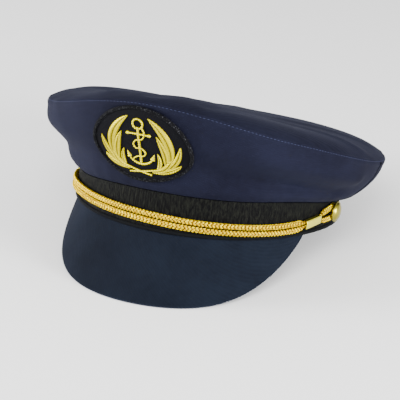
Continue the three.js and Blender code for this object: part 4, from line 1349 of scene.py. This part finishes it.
def button_disc():
    """A button with its face up: its back is at z = 0, and its shank reaches down."""
    bpy.ops.object.select_all(action="DESELECT")
    bpy.ops.mesh.primitive_cylinder_add(
        vertices=40, radius=BUTTON_RADIUS, depth=BUTTON_THICK, location=(0, 0, BUTTON_THICK / 2)
    )
    disc = bpy.context.object
    bpy.ops.object.transform_apply(location=True)
    edit(disc)
    select_faces(disc, lambda place, normal: normal.z > 0.9)
    bpy.ops.mesh.inset(thickness=BUTTON_RIM)
    bpy.ops.mesh.inset(thickness=BUTTON_STEP)
    bpy.ops.transform.translate(value=(0, 0, -BUTTON_SUNK))
    for inset, rise in zip(DOME_INSETS, DOME_RISES):
        bpy.ops.mesh.inset(thickness=inset * MM)
        bpy.ops.transform.translate(value=(0, 0, rise * MM))
    bpy.ops.mesh.poke()
    select_faces(disc, lambda place, normal: normal.z < -0.9)
    bpy.ops.mesh.inset(thickness=BUTTON_RADIUS - SHANK_RADIUS)
    bpy.ops.mesh.extrude_region_move(TRANSFORM_OT_translate={"value": (0, 0, GAP - BUTTON_BACK)})
    leave()
    edge = disc.modifiers.new("Turned edge", "BEVEL")
    edge.width = BUTTON_EDGE
    edge.segments = 3
    edge.angle_limit = SHARP_TURN
    bpy.ops.object.modifier_apply(modifier=edge.name)
    bpy.ops.object.shade_smooth_by_angle(angle=SHARP_TURN)
    return disc


def place_button(name, disc, side):
    """A copy of the button, turned so that its shank stands on the band."""
    button = bpy.data.objects.new(name, disc.data.copy())
    bpy.context.collection.objects.link(button)
    out = band_normal(trim_angle(side))
    sideways = np.cross([0, 0, 1], out)
    frame = np.concatenate([sideways, np.cross(out, sideways), out])
    middle = on_band(trim_angle(side), BUTTON_BACK, BUTTON_LEVEL)
    move_to(button, to_room(places(button) @ frame + middle))
    return button


# painted shade: the buttons' brass is darker than the keepers', for the shade that falls on them
button_brass = pale_brass("Pressed brass, darkened by painted shade", 0x948A2C)
disc = button_disc()
for side, node in ((1, "side_button_left"), (-1, "side_button_right")):
    dress(place_button(f"{node}_disc", disc, side), button_brass, "pale_brass", node)
bpy.data.objects.remove(disc)

# %% [markdown]
# The badge follows the curve of the crown. A flat design is laid onto it: x millimetres across
# turn into an angle round the hat, and y millimetres up into a length along the cloth. A grid of
# rays, cast once at the cloth, answers where each point of the design lies.

# %% Lay a flat design on the crown
BADGE_ANGLE = math.radians(-3.6)
BADGE_LEVEL = 0.54
BADGE_HALF_WIDTH = 35 * MM
BADGE_HALF_HEIGHT = 27.5 * MM
DESIGN_TURN = math.radians(-1.8)
DESIGN_UP = 1.1 * MM
GRID_SPREAD = math.radians(27)
GRID_ANGLES = np.linspace(BADGE_ANGLE - GRID_SPREAD, BADGE_ANGLE + GRID_SPREAD, 73)
GRID_LEVELS = np.linspace(0.03, 0.96, 70)

crown_grid = np.array([[beside_crown(a, level)[0] for level in GRID_LEVELS] for a in GRID_ANGLES])
grid_out = np.cross(np.gradient(crown_grid, axis=0), np.gradient(crown_grid, axis=1))
grid_out /= np.linalg.norm(grid_out, axis=2)[:, :, None]
meridian = crown_grid[len(GRID_ANGLES) // 2]
meridian_length = lengths_along(meridian)
badge_start = np.interp(BADGE_LEVEL, GRID_LEVELS, meridian_length)


def between(grid, angle, level):
    """Values of a grid at angles and levels that lie between its lines."""
    i = (angle - GRID_ANGLES[0]) / (GRID_ANGLES[1] - GRID_ANGLES[0])
    j = (level - GRID_LEVELS[0]) / (GRID_LEVELS[1] - GRID_LEVELS[0])
    i0 = np.clip(i.astype(int), 0, len(GRID_ANGLES) - 2)
    j0 = np.clip(j.astype(int), 0, len(GRID_LEVELS) - 2)
    u, v = (i - i0)[:, None], (j - j0)[:, None]
    low = grid[i0, j0] * (1 - u) + grid[i0 + 1, j0] * u
    high = grid[i0, j0 + 1] * (1 - u) + grid[i0 + 1, j0 + 1] * u
    return low * (1 - v) + high * v


def on_badge(x, y, lift):
    """Points of the flat design on the crown, raised by lift, in the room."""
    level = np.interp(badge_start + y, meridian_length, GRID_LEVELS)
    reach = np.interp(level, GRID_LEVELS, np.hypot(meridian[:, 0], meridian[:, 1]))
    angle = BADGE_ANGLE + x / reach
    proud = between(grid_out, angle, level) * np.reshape(lift, (-1, 1))
    return to_room(between(crown_grid, angle, level) + proud)


def on_design(x, y, lift):
    """The same for the embroidery, which is sewn a little high and slightly turned."""
    across = x * math.cos(DESIGN_TURN) - y * math.sin(DESIGN_TURN)
    up = x * math.sin(DESIGN_TURN) + y * math.cos(DESIGN_TURN)
    return on_badge(across, up + DESIGN_UP, lift)


print(f"the badge's middle is {badge_start / MM:.0f} mm up the cloth from the band")

# %% [markdown]
# The patch is a disc of black felt. It starts as a filled circle, is inset into rings so that it
# can bend, extruded to the thickness of felt, and then laid on the crown. Its edge is overlocked:
# black thread wound tightly round it, with a fuzz that catches the light. The real thread lies
# about 0.5 mm apart. Its winds are drawn coarser, at 1.5 mm, which the render can still show.

# %% Felt patch and wound rim
PATCH_WALL = 1.4 * MM
PATCH_RINGS = 14
PATCH_SIDES = 96
PATCH_TUCK = 1.6
RIM_RADIUS = 1.3 * MM
RIM_SIDES = 12
RIM_STEPS = 720
WIND_PITCH = 1.5 * MM
WIND_DEPTH = 0.3 * MM


def make_patch():
    """An oval felt disc that follows the crown."""
    bpy.ops.object.select_all(action="DESELECT")
    bpy.ops.mesh.primitive_circle_add(vertices=PATCH_SIDES, radius=1, fill_type="NGON")
    patch = bpy.context.object
    patch.name = "badge_felt"
    edit(patch)
    for _ in range(PATCH_RINGS):
        bpy.ops.mesh.inset(thickness=1 / (PATCH_RINGS + 1))
    bpy.ops.mesh.select_all(action="SELECT")
    bpy.ops.mesh.extrude_region_move(TRANSFORM_OT_translate={"value": (0, 0, 1)})
    bpy.ops.mesh.select_all(action="SELECT")
    bpy.ops.mesh.normals_make_consistent(inside=False)
    leave()
    x, y, z = places(patch).T
    tuck = PATCH_TUCK * RIM_RADIUS
    x = x * (BADGE_HALF_WIDTH - tuck)
    y = y * (BADGE_HALF_HEIGHT - tuck)
    move_to(patch, on_badge(x, y, z * (GAP + PATCH_WALL)))
    bpy.ops.object.shade_smooth_by_angle(angle=math.radians(40))
    return patch


def make_rim():
    """Thread wound round the patch's edge."""
    turn = np.linspace(0, 2 * math.pi, RIM_STEPS, endpoint=False)
    x = (BADGE_HALF_WIDTH - RIM_RADIUS) * np.cos(turn)
    y = (BADGE_HALF_HEIGHT - RIM_RADIUS) * np.sin(turn)
    path = on_badge(x, y, np.full(RIM_STEPS, GAP + RIM_RADIUS))
    above = on_badge(x, y, np.full(RIM_STEPS, GAP + 2 * RIM_RADIUS))
    winds = round(steps_round(path).sum() / WIND_PITCH)
    radius = RIM_RADIUS - WIND_DEPTH * (1 - np.cos(winds * turn)) / 2
    return roll("badge_rim_thread", path, unit(above - path), radius, radius, RIM_SIDES)


print(f"the badge is {2 * BADGE_HALF_WIDTH / MM:.0f} by {2 * BADGE_HALF_HEIGHT / MM:.0f} mm")

# %% [markdown]
# Pressed wool felt is matt: its fibres lie every way and send the light every way. Pale lint
# catches on it. The thread round its edge has the same flecks but paler: there they are painted
# sheen, the light that its fuzz catches.

# %% Wool felt, and the patch is dressed
FELT_NAP = 0.7 * MM
FELT_RELIEF = 0.3 * MM


def felt(name, ground, lint_and_sheen):
    """Pressed wool felt: matt black, with pale flecks: lint on the felt, painted sheen on the rim thread.
    """
    material, tree, shader = start_material(name, 0.95)
    place = add_node(tree, "ShaderNodeTexCoord").outputs["Object"]
    nap = add_node(tree, "ShaderNodeTexNoise", {"Scale": 1 / FELT_NAP, "Detail": 5.0}, {"Vector": place})
    share = add_node(
        tree, "ShaderNodeMapRange", {"From Min": 0.58, "From Max": 0.9}, {"Value": nap.outputs["Fac"]}
    )
    colour = add_node(
        tree, "ShaderNodeMix", {"data_type": "RGBA", 6: linear(ground), 7: linear(lint_and_sheen)},
        {0: share.outputs["Result"]},
    )
    tree.links.new(colour.outputs[2], shader.inputs["Base Color"])
    bump = add_node(
        tree, "ShaderNodeBump", {"Strength": 0.6, "Distance": FELT_RELIEF}, {"Height": nap.outputs["Fac"]}
    )
    tree.links.new(bump.outputs["Normal"], shader.inputs["Normal"])
    shader.inputs["Specular IOR Level"].default_value = 0.08
    return material


black_felt = felt("Wool felt, black", 0x050508, 0x0E0E14)
# the rim thread's pale flecks are painted sheen on its fuzz
rim_thread = felt("Overlocked rayon, black", 0x050507, 0x606268)
dress(make_patch(), black_felt, "black_felt", "badge_patch")
dress(make_rim(), rim_thread, "black_felt", "badge_rim")

# %% [markdown]
# Embroidery is thread laid side by side over a padding, so each leaf and bar of the badge is a
# raised ridge. It needs a line of the flat design to lie along and a slab to be shaped from. The
# slab starts as a flat grid and is extruded. Where the line is closed, its two ends are opened.

# %% Lines and slabs for embroidery
def curve_points(points, count):
    """A smooth flat line through three or more chosen points."""
    points = np.asarray(points, dtype=float)
    if len(points) == 3:
        t = np.linspace(0, 1, count)[:, None]
        return (1 - t) ** 2 * points[0] + 2 * t * (1 - t) * points[1] + t**2 * points[2]
    spots = lengths_along(points)
    wanted = np.linspace(0, spots[-1], count)
    return np.stack([through(spots, points[:, k], wanted) for k in range(2)], axis=1)


def slab(columns, rows, closed):
    """A flat closed slab. x and y run from -0.5 to 0.5, z is 1 on its upper side and 0 below."""
    piece = flat_grid("ridge", columns, rows)
    edit(piece)
    bpy.ops.mesh.extrude_region_move(TRANSFORM_OT_translate={"value": (0, 0, 1)})
    if closed:
        select_faces(piece, lambda middle, normal: abs(normal.x) > 0.9)
        bpy.ops.mesh.delete(type="FACE")
    leave()
    return piece


# %% [markdown]
# The points of a slab are laid along a line of the design, and its upper side is rounded. The
# stitches are real ripples of the surface, across the ridge. On a leaf they slant back from a sunk
# middle vein. Real satin stitches are 0.4 mm apart. They are drawn coarser, at 1.7 mm, which a
# picture still shows.

# %% Embroidered ridges
STITCH_WAVE = 1.7 * MM
STITCH_RISE = 0.2 * MM
STITCH_BULGE = 0.03
STITCH_SHADE = 0.25
STEPS_A_STITCH = 6
VEIN_SHADE_WIDTH = 0.42
VEIN_SINK = 0.16
EDGE_SHADE_WIDTH = 0.3
ACROSS_ROWS = 12
THREAD_LIFT = GAP + PATCH_WALL
THREAD_ROOT = 0.15 * MM


def ridge(line, half, height, raised_by=0.0, slant=0.0, vein=0.0, closed=False):
    """One embroidered ridge of thread on the felt, with painted shade kept as a point attribute. line and
    half are flat lengths in metres.
    """
    count = len(line)
    columns = count if closed else count - 1
    piece = slab(columns, ACROSS_ROWS, closed)
    x, y, z = places(piece).T
    i = np.round((x + 0.5) * columns).astype(int) % count
    across = 2 * y
    way = tangents(line, closed)[i]
    travelled = lengths_along(line)[i]
    widest = np.max(half)
    half = np.broadcast_to(half, count)[i]
    stitch = np.sin(2 * math.pi * (travelled + slant * np.abs(across) * half) / STITCH_WAVE)
    round_top = np.sqrt(np.clip(1 - across**2, 0, 1))
    sunk = 1 - vein * np.exp(-((across / VEIN_SINK) ** 2))
    padding = height * np.minimum(half / widest, 1) ** 0.5 * round_top * sunk
    full = padding + STITCH_RISE * stitch * round_top
    wide = half * across * (1 + STITCH_BULGE * stitch)
    lift = THREAD_LIFT + raised_by
    high = np.where(z > 0.5, lift + full, lift - THREAD_ROOT)
    move_to(piece, on_design(line[i, 0] - way[:, 1] * wide, line[i, 1] + way[:, 0] * wide, high))
    # painted shade: the colour darkens in the sunk vein, towards the ridge's edges and between stitches
    vein_shade = np.minimum(np.abs(across) / VEIN_SHADE_WIDTH, 1) if vein else 1
    outline = np.clip((1 - np.abs(across)) / EDGE_SHADE_WIDTH, 0, 1) * (z > 0.5)
    painted_light = piece.data.attributes.new("painted_light", "FLOAT", "POINT")
    painted_light.data.foreach_set("value", vein_shade * outline * (1 - STITCH_SHADE + STITCH_SHADE * stitch))
    close_up(piece)
    return piece


def sew(name, ridges):
    """Join several ridges to one piece."""
    bpy.ops.object.select_all(action="DESELECT")
    for piece in ridges:
        piece.select_set(True)
    bpy.context.view_layer.objects.active = ridges[0]
    bpy.ops.object.join()
    whole = bpy.context.object
    whole.name = name
    bpy.ops.object.shade_smooth_by_angle(angle=math.radians(60))
    return whole


# %% [markdown]
# The wreath: six leaves a side grow from two crossed stems. Each leaf is a curve from its root,
# past a bow, to its tip, written as shares of the patch's half-width and half-height.

# %% The laurel wreath
LEAF_HEIGHT = 1.15 * MM
LEAF_LAYER = 0.06 * MM
LEAF_SLANT = 1.3
LEAF_VEIN = 0.65
LEAF_BELLY = 0.95
LEAF_POINT = 0.65
LEAF_END = 0.06
STEM_THIN = 0.8
STEM_RAISED = 0.5 * MM
WREATH_SPREAD = 0.965

# Each leaf has its root, bow and tip, and its half-width as a share of the patch's half-width.
LEAVES = {
    "tall": ((0.57, -0.45), (0.7, 0.27), (0.2, 0.68), 0.095),
    "inner": ((0.47, -0.58), (0.56, -0.18), (0.35, 0.27), 0.074),
    "outer": ((0.5, -0.63), (0.74, -0.35), (0.8, 0.13), 0.06),
    "lower": ((0.26, -0.76), (0.6, -0.68), (0.78, -0.41), 0.055),
    "small": ((0.3, -0.72), (0.43, -0.48), (0.34, -0.2), 0.042),
    "heart": ((0.22, -0.76), (0.52, -0.66), (0.6, -0.3), 0.065),
}
STEM = ((-0.22, -0.82), (0.12, -0.77), (0.42, -0.62), 0.019)


def leaf_width(share):
    """Width along a leaf, 1 at its belly and LEAF_END at its root and its tip."""
    return np.maximum(np.sin(math.pi * share**LEAF_BELLY) ** LEAF_POINT, LEAF_END)


def sprig(row, side):
    """The middle line of a leaf or stem in flat metres, with a few points to each stitch."""
    points = np.array(row[:3]) * [side * BADGE_HALF_WIDTH * WREATH_SPREAD, BADGE_HALF_HEIGHT]
    return curve_points(points, round(lengths_along(points)[-1] / STITCH_WAVE * STEPS_A_STITCH))


def make_wreath():
    """Both branches of the wreath."""
    ridges = []
    for side in (-1, 1):
        for layer, row in enumerate(LEAVES.values()):
            line = sprig(row, side)
            half = row[3] * BADGE_HALF_WIDTH * leaf_width(np.linspace(0, 1, len(line)))
            ridges.append(ridge(line, half, LEAF_HEIGHT, LEAF_LAYER * layer, LEAF_SLANT, LEAF_VEIN))
        stem_half = STEM[3] * BADGE_HALF_WIDTH
        ridges.append(ridge(sprig(STEM, side), stem_half, LEAF_HEIGHT * STEM_THIN, STEM_RAISED))
    return sew("badge_wreath_thread", ridges)


print(f"{len(LEAVES)} leaves and a stem on each side of the wreath")

# %% [markdown]
# The fouled anchor: a ring, a shank, a stock with knobs, curved arms with pointed flukes, and a
# rope that winds round the shank. Each is a straight line, an arc or a smooth line through a few
# points. Sizes and places are shares of the anchor's own size, which is nearly the patch's
# half-height.

# %% Parts of the anchor
ANCHOR_SIZE = BADGE_HALF_HEIGHT * 0.963
ANCHOR_HEIGHT = 0.95 * MM
RING_LEVEL = 0.53
RING_RADIUS = 0.125
SHANK_ENDS = (-0.56, 0.45)
STOCK_LEVEL = 0.265
STOCK_REACH = 0.27
KNOB_REACH = 0.05
KNOB_THICK = 1.2
KNOB_BULGE = (0.06, 0.94)
ARMS_LEVEL = -0.265
ARMS_RADIUS = 0.345
ARMS_SWEEP = math.radians(84)
ARMS_WIDEST = 1.15
ARMS_NARROWING = 0.9
FLUKE_SWEEP = 0.435
FLUKE_LONG = 1.2
FLUKE_TIP = 0.08
HALF_WIDTHS = {"ring": 0.026, "shank": 0.032, "stock": 0.026, "arms": 0.03, "fluke": 0.064, "rope": 0.019}
STEPS = {"ring": 60, "shank": 70, "stock": 40, "knob": 16, "arms": 70, "fluke": 24, "rope": 150}
ROPE_THIN = 0.8
ROPE_RAISED = 0.45 * MM
ROPE_SLANT = 1.0
ROPE = [
    (0.11, 0.45), (0.16, 0.3), (0.1, 0.15), (-0.07, 0.09), (-0.145, -0.025), (-0.09, -0.135),
    (0.04, -0.13), (0.14, -0.25), (0.09, -0.355), (-0.06, -0.385), (-0.17, -0.46), (-0.2, -0.54),
]


def arc_points(centre, radius, start, sweep, count, closed=False):
    """Points of a flat arc."""
    turn = start + np.linspace(0, sweep, count, endpoint=not closed)
    return np.stack([centre[0] + radius * np.cos(turn), centre[1] + radius * np.sin(turn)], axis=1)


def bar(first, second, count):
    """Points of a flat straight line."""
    return np.linspace(first, second, count)


def knob(side):
    """A ball at one end of the stock."""
    middle = side * STOCK_REACH * ANCHOR_SIZE
    level = STOCK_LEVEL * ANCHOR_SIZE
    reach = KNOB_REACH * ANCHOR_SIZE
    line = bar((middle - reach, level), (middle + reach, level), STEPS["knob"])
    bulge = np.sin(math.pi * np.linspace(*KNOB_BULGE, STEPS["knob"]))
    return ridge(line, reach * bulge, ANCHOR_HEIGHT * KNOB_THICK)


def on_arm(turn):
    """A point of the arms' arc."""
    across = ARMS_RADIUS * math.cos(turn)
    up = ARMS_LEVEL + ARMS_RADIUS * math.sin(turn)
    return np.array([across, up]) * ANCHOR_SIZE


def fluke(side):
    """The pointed head at the end of one arm."""
    tip_turn = -math.pi / 2 + side * ARMS_SWEEP
    tip = on_arm(tip_turn)
    heel = on_arm(tip_turn - side * FLUKE_SWEEP)
    line = bar(heel, heel + (tip - heel) * FLUKE_LONG, STEPS["fluke"])
    taper = np.linspace(1, FLUKE_TIP, STEPS["fluke"])
    return ridge(line, HALF_WIDTHS["fluke"] * ANCHOR_SIZE * taper, ANCHOR_HEIGHT)


print(f"the anchor's stock is {2 * STOCK_REACH * ANCHOR_SIZE / MM:.0f} mm wide")

# %% [markdown]
# The parts are made in the order in which they are sewn. The rope comes last and lies highest.
# The arms are widest in the middle and narrow towards the flukes.

# %% The fouled anchor
def make_anchor():
    """The anchor and its rope."""
    size = ANCHOR_SIZE
    reach, level = STOCK_REACH * size, STOCK_LEVEL * size
    ring_middle, arms_middle = (0, RING_LEVEL * size), (0, ARMS_LEVEL * size)
    ring = arc_points(ring_middle, RING_RADIUS * size, 0, 2 * math.pi, STEPS["ring"], closed=True)
    shank = bar((0, SHANK_ENDS[0] * size), (0, SHANK_ENDS[1] * size), STEPS["shank"])
    stock = bar((-reach, level), (reach, level), STEPS["stock"])
    arms_start = -math.pi / 2 - ARMS_SWEEP
    arms = arc_points(arms_middle, ARMS_RADIUS * size, arms_start, 2 * ARMS_SWEEP, STEPS["arms"])
    narrowing = ARMS_WIDEST - ARMS_NARROWING * np.linspace(-1, 1, STEPS["arms"]) ** 2
    ridges = [
        ridge(ring, HALF_WIDTHS["ring"] * size, ANCHOR_HEIGHT, closed=True),
        ridge(shank, HALF_WIDTHS["shank"] * size, ANCHOR_HEIGHT),
        ridge(stock, HALF_WIDTHS["stock"] * size, ANCHOR_HEIGHT),
        ridge(arms, HALF_WIDTHS["arms"] * size * narrowing, ANCHOR_HEIGHT),
    ]
    for side in (-1, 1):
        ridges.append(knob(side))
        ridges.append(fluke(side))
    rope = curve_points(np.array(ROPE) * size, STEPS["rope"])
    rope_half = HALF_WIDTHS["rope"] * size
    ridges.append(ridge(rope, rope_half, ANCHOR_HEIGHT * ROPE_THIN, ROPE_RAISED, ROPE_SLANT))
    return sew("badge_anchor_thread", ridges)


anchor_high = (RING_LEVEL + RING_RADIUS - ARMS_LEVEL + ARMS_RADIUS) * ANCHOR_SIZE
print(f"the anchor is {anchor_high / MM:.0f} mm high")

# %% [markdown]
# Satin stitch in rayon is glossy, as fine wire is. Shade is painted into its colour: it is paler
# on the crests of its stitches, and darker in the sunk vein, at the edges of each ridge and in the
# hollows between stitches, where the light doesn't reach between the threads. Each point of a ridge
# carries this painted light as a number, and the material reads that number.

# %% Rayon satin stitch, and the badge is sewn
SATIN_FLECK = 1.6 * MM


def satin_thread(name, bright, dark):
    """Rayon satin stitch: pale old gold, with painted shade in the sunk vein, at the edges and between
    stitches.
    """
    material, tree, shader = start_material(name, 0.5, 0.7)
    shader.inputs["Specular Tint"].default_value = linear(bright)
    # painted light of each ridge point: painted shade in the vein, at the edges and between stitches
    painted_light = add_node(tree, "ShaderNodeAttribute", {"attribute_name": "painted_light"})
    place = add_node(tree, "ShaderNodeTexCoord").outputs["Object"]
    fleck = add_node(
        tree, "ShaderNodeTexNoise", {"Scale": 1 / SATIN_FLECK, "Detail": 3.0}, {"Vector": place}
    )
    share = add_node(
        tree, "ShaderNodeMath", {"operation": "MULTIPLY_ADD", 1: 0.3, "use_clamp": True},
        {0: fleck.outputs["Fac"], 2: painted_light.outputs["Fac"]},
    )
    colour = add_node(
        tree, "ShaderNodeMix", {"data_type": "RGBA", 6: linear(dark), 7: linear(bright)},
        {0: share.outputs[0]},
    )
    tree.links.new(colour.outputs[2], shader.inputs["Base Color"])
    return material


old_gold = satin_thread("Rayon satin stitch, old gold", 0xCCBE06, 0x423200)
dress(make_wreath(), old_gold, "gold_thread", "badge_wreath")
dress(make_anchor(), old_gold, "gold_thread", "badge_anchor")
